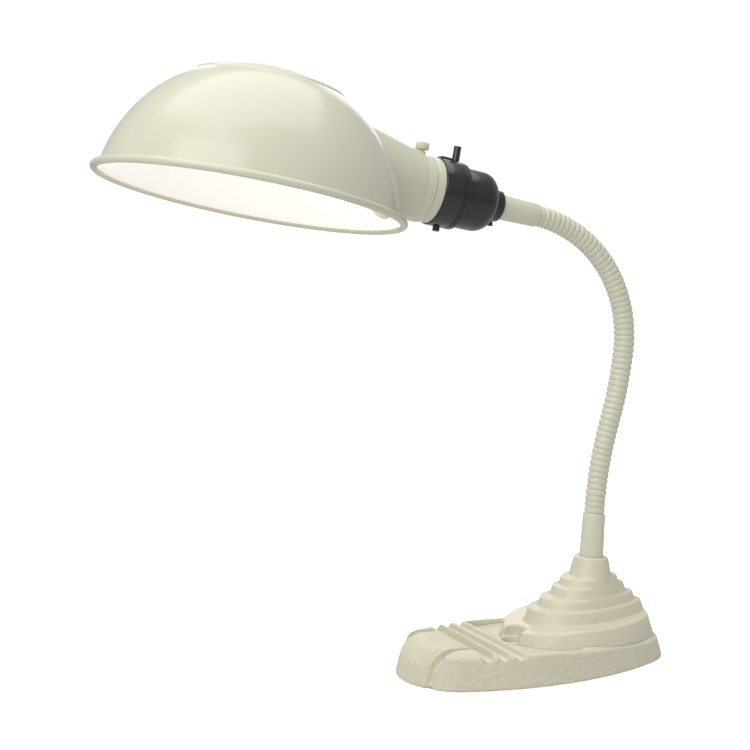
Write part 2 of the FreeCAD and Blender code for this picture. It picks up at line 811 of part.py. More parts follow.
def make_base():
    casting = make_casting_body()

    # the collar and the holes for the stem lean back with it
    low = d.collar_low
    collar = turned("collar", [(d.nipple_radius - 1.0, -low),
                               (d.collar_top_radius + d.collar_spread, -low),
                               (d.collar_top_radius, -d.collar_edge),
                               (d.collar_top_radius - d.collar_edge, ZERO),
                               (d.nipple_radius - 1.0, ZERO)])
    collar.Placement = stem_place
    bore = turned("stem_bore", [(ZERO, -d.stem_grip - 30.0),
                                (d.stem_cavity_radius, -d.stem_grip - 30.0),
                                (d.stem_cavity_radius, -d.stem_grip),
                                (d.nipple_radius + d.nipple_fit, -d.stem_grip),
                                (d.nipple_radius + d.nipple_fit, d.collar_edge * 4.0),
                                (ZERO, d.collar_edge * 4.0)])
    bore.Placement = stem_place
    whole = doc.addObject("Part::MultiFuse", "casting_with_collar")
    whole.Shapes = [casting, collar]
    keep("base_casting", cut_with("base_casting", whole, [bore]))

    cover = new_body("base_cover")
    pad(cover, draw(new_sketch(cover, "cover_plate", height=cover_bottom),
                    foot_outline(d.cover_inset + d.cover_gap)), d.cover_thickness)
    felt = new_body("felt_pad")
    pad(felt, draw(new_sketch(felt, "felt_sheet", height=None),
                   foot_outline(d.cover_inset + d.felt_gap)), d.felt_thickness)
    for i, (x, y) in enumerate(COVER_BOSSES):
        round_pocket(cover, f"cover_hole{i}", x, y, d.cover_screw_radius + d.cover_screw_fit,
                     cover_bottom - 1.0, d.cover_thickness + 2.0)
        sketch = new_sketch(felt, f"felt_hole{i}")
        draw_circle(sketch, x, y, d.cover_screw_head + 0.6)
        pocket(felt, sketch, d.felt_thickness * 2.0, reverse=True)
    keep("base_cover", cover)
    keep("felt_pad", felt)

    head_low = cover_bottom - d.cover_screw_head_height
    tip = cover_bottom + d.cover_screw_length
    screws = []
    for i, (x, y) in enumerate(COVER_BOSSES):
        screw = turned(f"cover_screw_{i}", [(ZERO, head_low + 0.7),
                                            (d.cover_screw_head - 2.4, head_low + 0.7),
                                            (d.cover_screw_head - 2.4, head_low),
                                            (d.cover_screw_head - 0.5, head_low),
                                            (d.cover_screw_head, head_low + 0.5),
                                            (d.cover_screw_head, cover_bottom),
                                            (d.cover_screw_radius, cover_bottom),
                                            (d.cover_screw_radius, tip - 1.0),
                                            (d.cover_screw_radius - 0.8, tip),
                                            (ZERO, tip)])
        bind(screw, "Placement.Base.x", x)
        bind(screw, "Placement.Base.y", y)
        screws.append(screw)
    fuse = doc.addObject("Part::Compound", "cover_screws")
    fuse.Links = screws
    keep("cover_screws", fuse)

    bushing = turned("cord_bushing", [(d.inlet_bore, d.inlet_flange - d.inlet_length),
                                      (d.inlet_radius, d.inlet_flange - d.inlet_length),
                                      (d.inlet_radius, ZERO),
                                      (d.inlet_flange_radius, ZERO),
                                      (d.inlet_flange_radius, d.inlet_flange - d.edge),
                                      (d.inlet_flange_radius - d.edge, d.inlet_flange),
                                      (d.inlet_bore + d.edge, d.inlet_flange),
                                      (d.inlet_bore, d.inlet_flange - d.edge)])
    place = V(number(d.inlet_seat), 0, number(d.inlet_height))
    keep("cord_bushing", bushing, lean_frame(place, 90))


def make_nipple(name, low, high, placement):
    outline = [(d.nipple_bore, low),
               (d.nipple_radius - d.edge, low),
               (d.nipple_radius, low + d.edge),
               (d.nipple_radius, high - d.edge),
               (d.nipple_radius - d.edge, high),
               (d.nipple_bore, high)]
    keep(name, turned(name, outline), placement)


def make_stem_fixings():
    washer_low = -d.stem_grip - d.washer_thickness
    nut_low = washer_low - d.nut_height
    make_nipple("stem_nipple", nut_low - d.nipple_tail, d.nipple_engagement, stem_place)
    hole = d.nipple_radius + d.nipple_fit
    keep("stem_washer", turned("stem_washer", tube_outline(d.washer_radius, hole, washer_low,
                                                           -d.stem_grip)), stem_place)
    nut = new_body("stem_lock_nut")
    sketch = new_sketch(nut, "nut_hexagon", height=nut_low)
    half, corner = d.nut_half_flats, d.nut_half_flats / 0.8660254
    draw(sketch, [(corner, ZERO), (corner / 2.0, half), (-corner / 2.0, half), (-corner, ZERO),
                  (-corner / 2.0, -half), (corner / 2.0, -half)])
    pad(nut, sketch, d.nut_height)
    round_pocket(nut, "nut_hole", ZERO, ZERO, hole, nut_low - 1.0, d.nut_height + 2.0)
    keep("stem_lock_nut", nut, stem_place)


# ---------------------------------------------------------------- gooseneck

def ferrule_outline():
    """Local Z runs from the wide end (0) to the narrow end at the gooseneck."""
    socket_depth = d.nipple_engagement + 0.5
    hole = d.nipple_radius + d.nipple_fit
    length = d.ferrule_length - d.neck_joint_gap / 2.0
    return [(hole, ZERO),
            (d.ferrule_wide_radius - d.edge, ZERO),
            (d.ferrule_wide_radius, d.edge),
            (d.ferrule_narrow_radius, length - d.ferrule_edge),
            (d.ferrule_narrow_radius - d.ferrule_edge, length),
            (d.neck_bore_radius, length),
            (d.neck_bore_radius, socket_depth),
            (hole, socket_depth)]


def make_lower_ferrule():
    body = turned("lower_ferrule_body", ferrule_outline())
    cup = doc.addObject("Part::Sphere", "lower_ferrule_cup")
    bind(cup, "Radius", d.neck_ball_radius + d.neck_cup_clearance)
    bind(cup, "Placement.Base.z", d.ferrule_length)
    keep("lower_ferrule", cut_with("lower_ferrule", body, [cup]), stem_place)


def ring_at(along, radius):
    """Circle across the centre line. Its seam always starts towards +Y, so lofts do not twist."""
    point, lean = line.at(along)
    circle = Part.Circle(point, heading(lean), radius)
    frame = FreeCAD.Placement(point, FreeCAD.Rotation(V(0, 1, 0), heading(lean).cross(V(0, 1, 0)),
                                                      heading(lean), "XYZ"))
    edge = Part.Circle(V(0, 0, 0), V(0, 0, 1), radius).toShape()
    edge.Placement = frame
    return Part.Wire([edge])


def make_link(index):
    """One ribbed length of the gooseneck: cup at the top, hollow ball at the bottom."""
    rib, rim = number(d.neck_rib_radius), number(d.neck_root_radius)
    gap, bore = number(d.neck_joint_gap) / 2, number(d.neck_bore_radius)
    ball = number(d.neck_ball_radius)
    cup = ball + number(d.neck_cup_clearance)
    pitch = line.length / LINKS
    low = pitch * index
    high = pitch * (index + 1)
    start = low + gap
    end = high if index == LINKS - 1 else high - gap
    step = (end - start) / RIBS_PER_LINK
    sections = [ring_at(start, rim)]
    for i in range(RIBS_PER_LINK):
        base = start + step * i
        sections += [ring_at(base + step * 0.16, rib), ring_at(base + step * 0.84, rib),
                     ring_at(base + step, rim)]
    shape = Part.makeLoft(sections, True, True)
    foot, top = line.at(low)[0], line.at(high)[0]
    way = (top - foot).normalize()
    shape = shape.fuse(Part.makeSphere(ball, foot))
    tunnel = Part.makeCylinder(bore, (top - foot).Length + ball + 2, foot - way * (ball + 1), way)
    shape = shape.cut(tunnel)
    if index < LINKS - 1:
        shape = shape.cut(Part.makeSphere(cup, top))
    name = f"gooseneck_link_{index + 1:02d}"
    link = doc.addObject("Part::Feature", name)
    link.Shape = shape
    keep(name, link)


# ---------------------------------------------------------------- socket

def radial_hole(name, radius, distance, start, end):
    """Cutter across the socket axis at a distance along it, from x = start to x = end."""
    hole = doc.addObject("Part::Cylinder", name)
    bind(hole, "Radius", radius)
    bind(hole, "Height", end - start)
    hole.Placement = FreeCAD.Placement(V(0, 0, 0), FreeCAD.Rotation(V(0, 1, 0), 90))
    bind(hole, "Placement.Base.x", start)
    bind(hole, "Placement.Base.z", distance)
    return hole


def crosswise(name, outline, distance):
    """Turned piece across the socket axis; outline heights are distances up from the axis."""
    body = turned(name, outline)
    tilt = FreeCAD.Placement(V(0, 0, number(distance)), FreeCAD.Rotation(V(0, 1, 0), 90))
    return keep(name, body, socket_place.multiply(tilt))


def make_ring():
    half = d.sleeve_channel_half
    channel_low, channel_high = -d.thumb_place - half, -d.thumb_place + half
    outline = [(d.sleeve_bore, -d.sleeve_length),
               (d.sleeve_radius, -d.sleeve_length),
               (d.sleeve_radius, channel_low),
               (d.sleeve_channel_floor, channel_low),
               (d.sleeve_channel_floor, channel_high),
               (d.sleeve_radius, channel_high),
               (d.sleeve_radius, ZERO),
               (d.ring_radius - d.edge, ZERO),
               (d.ring_radius, d.edge),
               (d.ring_radius, d.ring_width - d.edge),
               (d.ring_radius - d.edge, d.ring_width),
               (d.sleeve_bore, d.ring_width)]
    keep("shade_ring", turned("shade_ring", outline), socket_place)


def make_socket_body():
    line1, line2 = d.body_line1, d.body_line2
    width, low = d.body_line_width, d.body_radius - d.body_line_depth
    outline = [(d.body_bore, -d.nose_start),
               (d.nose_outer, -d.nose_start),
               (d.nose_outer, d.ring_width),
               (d.body_radius - d.edge, d.ring_width),
               (d.body_radius, d.ring_width + d.edge),
               (d.body_radius, line1), (low, line1), (low, line1 + width), (d.body_radius, line1 + width),
               (d.body_radius, line2), (low, line2), (low, line2 + width), (d.body_radius, line2 + width),
               (d.body_radius, d.body_end - d.edge),
               (d.body_radius - d.edge, d.body_end),
               (d.body_bore, d.body_end)]
    body = turned("socket_body_turned", outline)
    flat = new_sketch(body, "switch_flat", "YZ_Plane", height=d.body_flat_height)
    draw(flat, box_outline(-d.body_flat_half, d.body_flat_half, d.ring_width + 0.4, d.body_flat_end))
    pad(body, flat, d.body_flat_height - d.body_radius + 3.0, reverse=True)
    holes = [radial_hole("rod_hole", d.rod_radius + d.rod_fit, d.rod_place, ZERO, d.rod_top),
             radial_hole("stub_hole", d.stub_radius + d.rod_fit, d.stub_place, -d.rod_top, ZERO)]
    keep("socket_body", cut_with("socket_body", body, holes), socket_place)


def make_socket_cap():
    start, radius, wall = d.body_end, d.cap_radius, d.cap_wall
    bend = d.cap_end - d.cap_shoulder
    middle = radius - d.cap_shoulder
    rise = root(d.cap_shoulder * d.cap_shoulder
                - (d.cap_collar_radius - middle) * (d.cap_collar_radius - middle))
    hole = d.nipple_radius + d.nipple_fit
    outline = [(radius - wall, start),
               (radius - 0.4, start),
               (radius, start + 0.4),
               (radius, bend),
               (d.cap_collar_radius, bend + rise, d.cap_shoulder, 1),
               (d.cap_collar_radius, d.cap_collar_end - d.edge),
               (d.cap_collar_radius - d.edge, d.cap_collar_end),
               (hole, d.cap_collar_end),
               (hole, d.cap_end - wall),
               (middle, d.cap_end - wall),
               (radius - wall, bend, d.cap_shoulder - wall, -1)]
    body = turned("socket_cap_turned", outline)
    hole = radial_hole("set_screw_hole", d.set_screw_radius + 0.05, d.set_screw_place,
                       -d.rod_top, ZERO)
    keep("socket_cap", cut_with("socket_cap", body, [hole]), socket_place)
    screw = [(ZERO, d.nipple_radius + 0.1),
             (d.set_screw_radius, d.nipple_radius + 0.1),
             (d.set_screw_radius, d.set_screw_head_start),
             (d.set_screw_head, d.set_screw_head_start),
             (d.set_screw_head, d.set_screw_reach - 0.3),
             (d.set_screw_head - 0.3, d.set_screw_reach),
             (ZERO, d.set_screw_reach)]
    body = turned("cap_set_screw", screw)
    tilt = FreeCAD.Placement(V(0, 0, number(d.set_screw_place)), FreeCAD.Rotation(V(0, 1, 0), -90))
    slot = new_sketch(body, "set_screw_slot", height=d.set_screw_reach - 0.8)
    draw(slot, box_outline(-d.set_screw_head * 2.0, d.set_screw_head * 2.0, ZERO - 0.35, ZERO + 0.35))
    pocket(body, slot, d.set_screw_head, reverse=True)
    keep("cap_set_screw", body, socket_place.multiply(tilt))


def make_socket_inside():
    front, back = d.core_front, d.core_front + d.core_thickness
    core = turned("socket_core", [(d.core_hole, front), (d.core_radius, front),
                                  (d.core_radius, back), (d.core_hole, back)])
    keep("socket_core", core, socket_place)
    inner = d.shell_radius - d.shell_wall
    shell = [(inner, -d.shell_start),
             (d.shell_radius, -d.shell_start),
             (d.shell_radius, front),
             (d.shell_hole, front),
             (d.shell_hole, front - d.shell_wall),
             (inner, front - d.shell_wall)]
    keep("screw_shell", turned("screw_shell", shell), socket_place)
    rivet = [(ZERO, front - d.rivet_head),
             (d.rivet_head_radius, front - d.rivet_head),
             (d.rivet_head_radius, front),
             (d.core_hole - 0.05, front),
             (d.core_hole - 0.05, back),
             (ZERO, back)]
    keep("centre_contact", turned("centre_contact", rivet), socket_place)
    screws = []
    for side in (-1, 1):
        screw = turned(f"terminal_screw_{side + 1}", [(ZERO, back),
                                                      (d.terminal_radius, back),
                                                      (d.terminal_radius, back + d.terminal_height),
                                                      (ZERO, back + d.terminal_height)])
        bind(screw, "Placement.Base.y", side * d.terminal_side)
        screws.append(screw)
    pair = doc.addObject("Part::Compound", "terminal_screws")
    pair.Links = screws
    keep("terminal_screws", pair, socket_place)


def make_switch():
    """Push-through rod: the long end shows above the socket, the stub below it."""
    half, side = d.carriage_half, d.carriage_side
    body = new_body("switch_rod")
    low, high = d.stub_place - d.stub_radius, d.rod_place + d.rod_radius
    block = new_sketch(body, "carriage", "YZ_Plane", height=-half)
    draw(block, box_outline(-side, side, low, high))
    pad(body, block, half * 2.0)
    rod = new_sketch(body, "rod", "YZ_Plane", height=half - 0.5)
    draw_circle(rod, ZERO, d.rod_place, d.rod_radius)
    pad(body, rod, d.rod_top - half + 0.5)
    stub = new_sketch(body, "stub", "YZ_Plane", height=0.5 - half)
    draw_circle(stub, ZERO, d.stub_place, d.stub_radius)
    pad(body, stub, d.stub_end - half + 0.5, reverse=True)
    keep("switch_rod", body, socket_place)
    blade = new_body("switch_contact")
    sketch = new_sketch(blade, "blade", "YZ_Plane", height=-half)
    draw(sketch, box_outline(side, side + d.blade_thickness, low + 0.5, low + 0.5 + d.blade_length))
    pad(blade, sketch, half * 2.0)
    keep("switch_contact", blade, socket_place)


# ---------------------------------------------------------------- bulb

def make_bulb():
    start, end = -d.bulb_cap_start, d.bulb_cap_end
    radius, valley = d.bulb_cap_radius, d.bulb_cap_radius - d.bulb_thread_depth
    inner = valley - d.bulb_cap_wall
    outline = [(inner, start), (radius, start)]
    for i in range(4):
        low = d.bulb_thread_pitch * float(i) - d.bulb_thread_start
        outline += [(radius, low), (valley, low + d.bulb_thread_pitch * 0.5)]
    outline += [(radius, d.bulb_thread_pitch * 4.0 - d.bulb_thread_start),
                (radius - 2.0, end),
                (d.bulb_insulator_radius, end),
                (d.bulb_insulator_radius, end - d.bulb_cap_wall),
                (inner, end - 3.0)]
    keep("bulb_screw_cap", turned("bulb_screw_cap", outline), socket_place)
    top = d.bulb_insulator_end
    keep("bulb_insulator", turned("bulb_insulator", [(ZERO, end - d.bulb_cap_wall),
                                                     (d.bulb_insulator_radius, end - d.bulb_cap_wall),
                                                     (d.bulb_insulator_radius, end),
                                                     (d.bulb_button_radius, top),
                                                     (ZERO, top)]), socket_place)
    keep("bulb_contact", turned("bulb_contact", [(ZERO, top), (d.bulb_button_radius, top),
                                                 (d.bulb_button_radius - 0.8, d.bulb_button),
                                                 (ZERO, d.bulb_button)]), socket_place)
    ball, wall = d.bulb_radius, d.bulb_wall
    small = ball - wall
    reach, rise = d.bulb_tangent_radius, d.bulb_tangent_rise
    share = small / ball
    glass = [(d.bulb_neck_radius - wall, start),
             (d.bulb_neck_radius - wall, -d.bulb_neck_end),
             (reach * share, rise * share - d.bulb_centre),
             (ZERO, -d.bulb_centre - small, small, -1, CENTRED),
             (ZERO, -d.bulb_centre - ball),
             (reach, rise - d.bulb_centre, ball, 1, CENTRED),
             (d.bulb_neck_radius, -d.bulb_neck_end),
             (d.bulb_neck_radius, start)]
    keep("bulb_glass", turned("bulb_glass", glass), socket_place)


# ---------------------------------------------------------------- shade

def sphere_height(radius, reach, sink):
    """Height above the mouth of a sphere of the given radius, at a distance from its axis."""
    return root(radius * radius - reach * reach) - sink


def socket_in_shade():
    """The socket's frame as seen from the shade's frame."""
    return shade_place.inverse().multiply(socket_place)


def neck_radius_at(distance):
    """Outer radius of the neck's cone at a distance in front of the ring."""
    return d.neck_cone_radius + (distance - d.neck_cone_end) * d.neck_slope


def inner_reach(radius, height, sink):
    return root(radius * radius - (height + sink) * (height + sink))


def make_dome():
    sink, wall = d.dome_sink, d.dome_wall
    outer, inner = d.dome_radius, d.dome_radius - wall
    step, rise, run = d.cap_step_radius, d.cap_step_rise, d.cap_step_run
    bead = d.bead_radius
    mouth = root(outer * outer - sink * sink)
    middle = mouth + d.bead_offset
    edge_height = bead * 1.8
    rolled = inner_reach(inner, edge_height, sink)
    # the raised cap is a flatter sphere that stands on the step
    above = sphere_height(outer, step, sink) + rise
    top = outer - sink + d.cap_lift
    sag = top - above
    cap_outer = (step * step + sag * sag) / (sag * 2.0)
    cap_inner = cap_outer - wall
    inner_step = step - wall * 0.7
    outline = [(rolled, edge_height, inner, -1, CENTRED),
               (middle - bead, bead),
               (middle + bead, bead, bead, 1),
               (middle + bead * 0.6, edge_height),
               (inner_reach(outer, edge_height, sink), edge_height),
               (step + run, sphere_height(outer, step + run, sink), outer, 1, CENTRED),
               (step, above),
               (ZERO, top, cap_outer, 1, CENTRED),
               (ZERO, top - wall),
               (inner_step, sphere_height(cap_inner, inner_step, cap_outer - top), cap_inner, -1, CENTRED),
               (inner_step + run, sphere_height(inner, inner_step + run, sink))]
    dome = turned("shade_dome_turned", outline)
    frame = socket_in_shade()
    hole_far = d.neck_cone_end + d.neck_cone_length + 20.0
    cutter = turned("neck_opening", [(ZERO, -hole_far),
                                     (neck_radius_at(hole_far) - d.neck_wall, -hole_far),
                                     (d.neck_cone_radius - d.neck_wall, -d.neck_cone_end),
                                     (ZERO, -d.neck_cone_end)])
    cutter.Placement = frame
    keep("shade_dome", cut_with("shade_dome", dome, [cutter]), shade_place)


def make_neck():
    far = d.neck_cone_end + d.neck_cone_length
    wall, rim = d.neck_wall, d.neck_cone_radius - d.neck_step
    end = -d.neck_end_gap
    outline = [(neck_radius_at(far) - wall, -far),
               (neck_radius_at(far), -far),
               (d.neck_cone_radius, -d.neck_cone_end),
               (rim, -d.neck_cone_end + d.neck_step),
               (rim, end),
               (d.neck_bore, end),
               (d.neck_bore, -d.neck_cone_end)]
    tube = turned("shade_neck_turned", outline)
    ball = doc.addObject("Part::Sphere", "dome_outside")
    bind(ball, "Radius", d.dome_radius)
    frame = socket_in_shade().inverse()
    ball.Placement = FreeCAD.Placement(frame.multVec(V(0, 0, -number(d.dome_sink))),
                                       FreeCAD.Rotation(V(0, 1, 0), 90))
    hole = radial_hole("thumb_hole", d.thumb_radius + d.thumb_fit, -d.thumb_place, ZERO, d.rod_top)
    keep("shade_neck", cut_with("shade_neck", tube, [ball, hole]), socket_place)


def neck_outside(clearance):
    """The space inside the neck's outer surface, drawn out by a clearance."""
    far = d.neck_cone_end + d.neck_cone_length
    rim = d.neck_cone_radius - d.neck_step
    return [(ZERO, -far),
            (neck_radius_at(far) + clearance, -far),
            (d.neck_cone_radius + clearance, clearance - d.neck_cone_end),
            (rim + clearance, clearance + d.neck_step - d.neck_cone_end),
            (rim + clearance, ZERO),
            (ZERO, ZERO)]


def make_thumb_screw():
    hole = d.thumb_radius + d.thumb_fit
    plate = turned("screw_boss_turned", [(hole, d.neck_bore), (d.boss_radius, d.neck_bore),
                                         (d.boss_radius, d.boss_top - 0.3),
                                         (d.boss_radius - 0.3, d.boss_top),
                                         (hole, d.boss_top)])
    tilt = FreeCAD.Placement(V(0, 0, -number(d.thumb_place)), FreeCAD.Rotation(V(0, 1, 0), 90))
    seat = turned("boss_seat", neck_outside(d.boss_fit))
    seat.Placement = tilt.inverse()
    keep("screw_boss", cut_with("screw_boss", plate, [seat]), socket_place.multiply(tilt))
    head, top = d.thumb_head_start, d.thumb_head_end
    screw = [(ZERO, d.thumb_tip),
             (d.thumb_radius, d.thumb_tip),
             (d.thumb_radius, head),
             (d.thumb_head_radius - d.edge, head),
             (d.thumb_head_radius, head + d.edge),
             (d.thumb_head_radius, top - d.edge),
             (d.thumb_head_radius - d.edge, top),
             (ZERO, top)]
    crosswise("thumb_screw", screw, -d.thumb_place)


# ---------------------------------------------------------------- build and write

def main():
    make_base()
    make_stem_fixings()
    make_lower_ferrule()
    for index in range(LINKS):
        make_link(index)
    upper = turned("upper_ferrule", upper_ferrule_outline())
    keep("upper_ferrule", upper, socket_place)
    make_nipple("socket_nipple", d.cap_collar_end - 10.0, d.cap_collar_end + d.nipple_engagement,
                socket_place)
    make_ring()
    make_socket_body()
    make_socket_cap()
    make_socket_inside()
    make_switch()
    make_bulb()
    make_dome()
    make_neck()
    make_thumb_screw()
    doc.recompute()

    for thing in doc.Objects:
        bad = [state for state in thing.State if state in ("Invalid", "Error")]
        if bad:
            raise ValueError(f"{thing.Label}: {bad}")
    os.makedirs("parts", exist_ok=True)
    for name, thing in nodes.items():
        shape = thing.Shape
        if shape.isNull() or not shape.isValid() or shape.Volume <= 0:
            raise ValueError(f"{name}: bad shape")
        box = shape.BoundBox
        print(f"{name:20s} {shape.Volume:10.1f} solids {len(shape.Solids)} "
              f"x {box.XMin:.1f}..{box.XMax:.1f} y {box.YMin:.1f}..{box.YMax:.1f} "
              f"z {box.ZMin:.1f}..{box.ZMax:.1f}")
        shape.exportStep(f"parts/{name}.step")


def upper_ferrule_outline():
    """The same ferrule behind the socket, wide end on the cap's collar."""
    start = d.cap_collar_end
    end = start + d.ferrule_length
    hole = d.nipple_radius + d.nipple_fit
    return [(hole, start),
            (d.ferrule_wide_radius - d.edge, start),
            (d.ferrule_wide_radius, start + d.edge),
            (d.ferrule_narrow_radius, end - d.ferrule_edge),
            (d.ferrule_narrow_radius - d.ferrule_edge, end),
            (d.neck_bore_radius, end),
            (d.neck_bore_radius, start + d.nipple_engagement + 0.5),
            (hole, start + d.nipple_engagement + 0.5)]


main()
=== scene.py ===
# %% [markdown]
# This lesson dresses a gooseneck desk lamp: a dome shade on a side-entry socket, a ribbed
# flexible neck, and a stepped cast base with pen rests. The solids come from the CAD frame,
# already in their right places. Here each visible piece gets the surface and the small
# roundings that the solids leave out, and then the lamp is lit like a plain product picture.

# %% Load the frame
import json
import math

import bmesh
import bpy
import numpy
from mathutils import Matrix, Vector, geometry


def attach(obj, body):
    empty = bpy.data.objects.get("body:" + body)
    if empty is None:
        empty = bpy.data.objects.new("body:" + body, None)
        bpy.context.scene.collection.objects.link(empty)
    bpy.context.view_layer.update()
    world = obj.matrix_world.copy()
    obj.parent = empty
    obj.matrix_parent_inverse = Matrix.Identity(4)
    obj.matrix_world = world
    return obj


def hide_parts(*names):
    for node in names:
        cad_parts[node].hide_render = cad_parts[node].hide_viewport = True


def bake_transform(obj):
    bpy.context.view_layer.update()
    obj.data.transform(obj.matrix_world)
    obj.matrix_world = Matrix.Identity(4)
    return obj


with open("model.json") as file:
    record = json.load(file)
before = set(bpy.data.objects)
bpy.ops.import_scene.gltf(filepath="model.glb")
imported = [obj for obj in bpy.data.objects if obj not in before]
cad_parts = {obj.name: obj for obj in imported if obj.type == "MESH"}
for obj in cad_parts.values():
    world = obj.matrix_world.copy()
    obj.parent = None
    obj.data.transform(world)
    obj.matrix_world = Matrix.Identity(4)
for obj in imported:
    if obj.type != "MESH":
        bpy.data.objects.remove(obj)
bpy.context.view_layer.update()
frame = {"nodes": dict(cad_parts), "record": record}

MM = 0.001

# %% [markdown]
# The camera stands a little above the lamp and to the front left of it, about a metre away,
# with a short telephoto lens. Its place was worked out from circles that must look like
# circles in perspective: the mouth of the shade, the ring and the outline of the base.

# %% Camera
scene = bpy.context.scene
camera_data = bpy.data.cameras.new("camera")
camera = bpy.data.objects.new("camera", camera_data)
scene.collection.objects.link(camera)
camera_data.sensor_fit = "HORIZONTAL"
camera_data.sensor_width = 36.0
camera_data.lens = 60.0
camera.location = (-508.7 * MM, -752.0 * MM, 267.2 * MM)
camera.rotation_euler = (math.radians(90 - 4.05), 0, math.radians(-24.14))
scene.camera = camera
scene.view_settings.view_transform = "Standard"

# %% [markdown]
# Every finish is a small set of shader nodes, so a helper saves typing. It makes a material
# with one Principled shader, sets the plain numbers on the shader itself, and gives back
# the node tree for the effects that change over the surface.

# %% Material helpers
def new_finish(name, base, roughness, **plain):
    material = bpy.data.materials.new(name)
    material.use_nodes = True
    shader = material.node_tree.nodes["Principled BSDF"]
    shader.inputs["Base Color"].default_value = (*base, 1)
    shader.inputs["Roughness"].default_value = roughness
    for socket, value in plain.items():
        shader.inputs[socket.replace("_", " ")].default_value = value
    return material, material.node_tree, shader


def add_node(tree, kind, **values):
    """A node by type. Values go to its properties, or else to the inputs of that name."""
    node = tree.nodes.new(kind)
    for key, value in values.items():
        if hasattr(node, key):
            setattr(node, key, value)
        else:
            node.inputs[key.replace("_", " ")].default_value = value
    return node


def object_place(tree):
    return add_node(tree, "ShaderNodeTexCoord").outputs["Object"]


# %% [markdown]
# Sprayed paint is never quite even. A group called paint film makes three things from the
# place on the object: a slow drift of the colour, a slow drift of the gloss, and the fine
# waviness that painters call orange peel. Several finishes use it with their own numbers.

# %% Paint film group
def make_paint_film():
    group = bpy.data.node_groups.new("paint film", "ShaderNodeTree")
    face = group.interface
    face.new_socket("Place", in_out="INPUT", socket_type="NodeSocketVector")
    face.new_socket("Color", in_out="INPUT", socket_type="NodeSocketColor")
    for name, value in (("Drift", 0.04), ("Gloss", 0.25), ("Gloss drift", 0.05), ("Peel size", 900.0)):
        face.new_socket(name, in_out="INPUT", socket_type="NodeSocketFloat").default_value = value
    for name, kind in (("Color", "Color"), ("Roughness", "Float"), ("Height", "Float")):
        face.new_socket(name, in_out="OUTPUT", socket_type="NodeSocket" + kind)
    source = group.nodes.new("NodeGroupInput")
    sink = group.nodes.new("NodeGroupOutput")
    link = group.links.new

    slow = add_node(group, "ShaderNodeTexNoise", Scale=11.0, Detail=3.0)
    link(source.outputs["Place"], slow.inputs["Vector"])
    swing = add_node(group, "ShaderNodeMath", operation="MULTIPLY_ADD")
    swing.inputs[2].default_value = 1.0
    centred = add_node(group, "ShaderNodeMath", operation="SUBTRACT")
    centred.inputs[1].default_value = 0.5
    link(slow.outputs["Fac"], centred.inputs[0])
    link(centred.outputs[0], swing.inputs[0])
    link(source.outputs["Drift"], swing.inputs[1])
    tint = add_node(group, "ShaderNodeVectorMath", operation="SCALE")
    link(source.outputs["Color"], tint.inputs[0])
    link(swing.outputs[0], tint.inputs["Scale"])
    link(tint.outputs[0], sink.inputs["Color"])

    patch = add_node(group, "ShaderNodeTexNoise", Scale=37.0, Detail=4.0)
    link(source.outputs["Place"], patch.inputs["Vector"])
    shift = add_node(group, "ShaderNodeMath", operation="MULTIPLY_ADD")
    link(patch.outputs["Fac"], shift.inputs[0])
    link(source.outputs["Gloss drift"], shift.inputs[1])
    link(source.outputs["Gloss"], shift.inputs[2])
    link(shift.outputs[0], sink.inputs["Roughness"])

    peel = add_node(group, "ShaderNodeTexNoise", Detail=2.0)
    link(source.outputs["Place"], peel.inputs["Vector"])
    link(source.outputs["Peel size"], peel.inputs["Scale"])
    link(peel.outputs["Fac"], sink.inputs["Height"])
    return group


paint_film = make_paint_film()


def use_paint_film(tree, shader, color, drift, gloss, gloss_drift, peel_size):
    """Places the group, feeds colour and gloss, and returns it for its height."""
    film = add_node(tree, "ShaderNodeGroup", node_tree=paint_film)
    film.inputs["Color"].default_value = (*color, 1)
    for name, value in (("Drift", drift), ("Gloss", gloss), ("Gloss drift", gloss_drift),
                        ("Peel size", peel_size)):
        film.inputs[name].default_value = value
    tree.links.new(object_place(tree), film.inputs["Place"])
    tree.links.new(film.outputs["Color"], shader.inputs["Base Color"])
    tree.links.new(film.outputs["Roughness"], shader.inputs["Roughness"])
    return film


def add_bump(tree, shader, height, distance, strength=1.0):
    bump = add_node(tree, "ShaderNodeBump", Strength=strength, Distance=distance)
    tree.links.new(height, bump.inputs["Height"])
    tree.links.new(bump.outputs["Normal"], shader.inputs["Normal"])
    return bump


# %% [markdown]
# The shade, the neck and the ferrules are cream gloss enamel. The colour is a pale yellow
# grey. The coat on top gives the clear reflections, and the peel is only just there.

# %% Enamel
CREAM = (0.745, 0.732, 0.575)


def make_enamel():
    material, tree, shader = new_finish("enamel", CREAM, 0.24, Coat_Weight=0.25, Coat_Roughness=0.16)
    film = use_paint_film(tree, shader, CREAM, 0.05, 0.20, 0.07, 420.0)
    add_bump(tree, shader, film.outputs["Height"], 0.00002)
    return material


enamel = make_enamel()

# %% [markdown]
# The base is the same cream over rough cast iron. On its upright sides the paint has dried
# into fine wrinkles. Two scales of noise make them, and a mask keeps them off the top
# faces and the smooth nose: it grows where the surface stands upright.

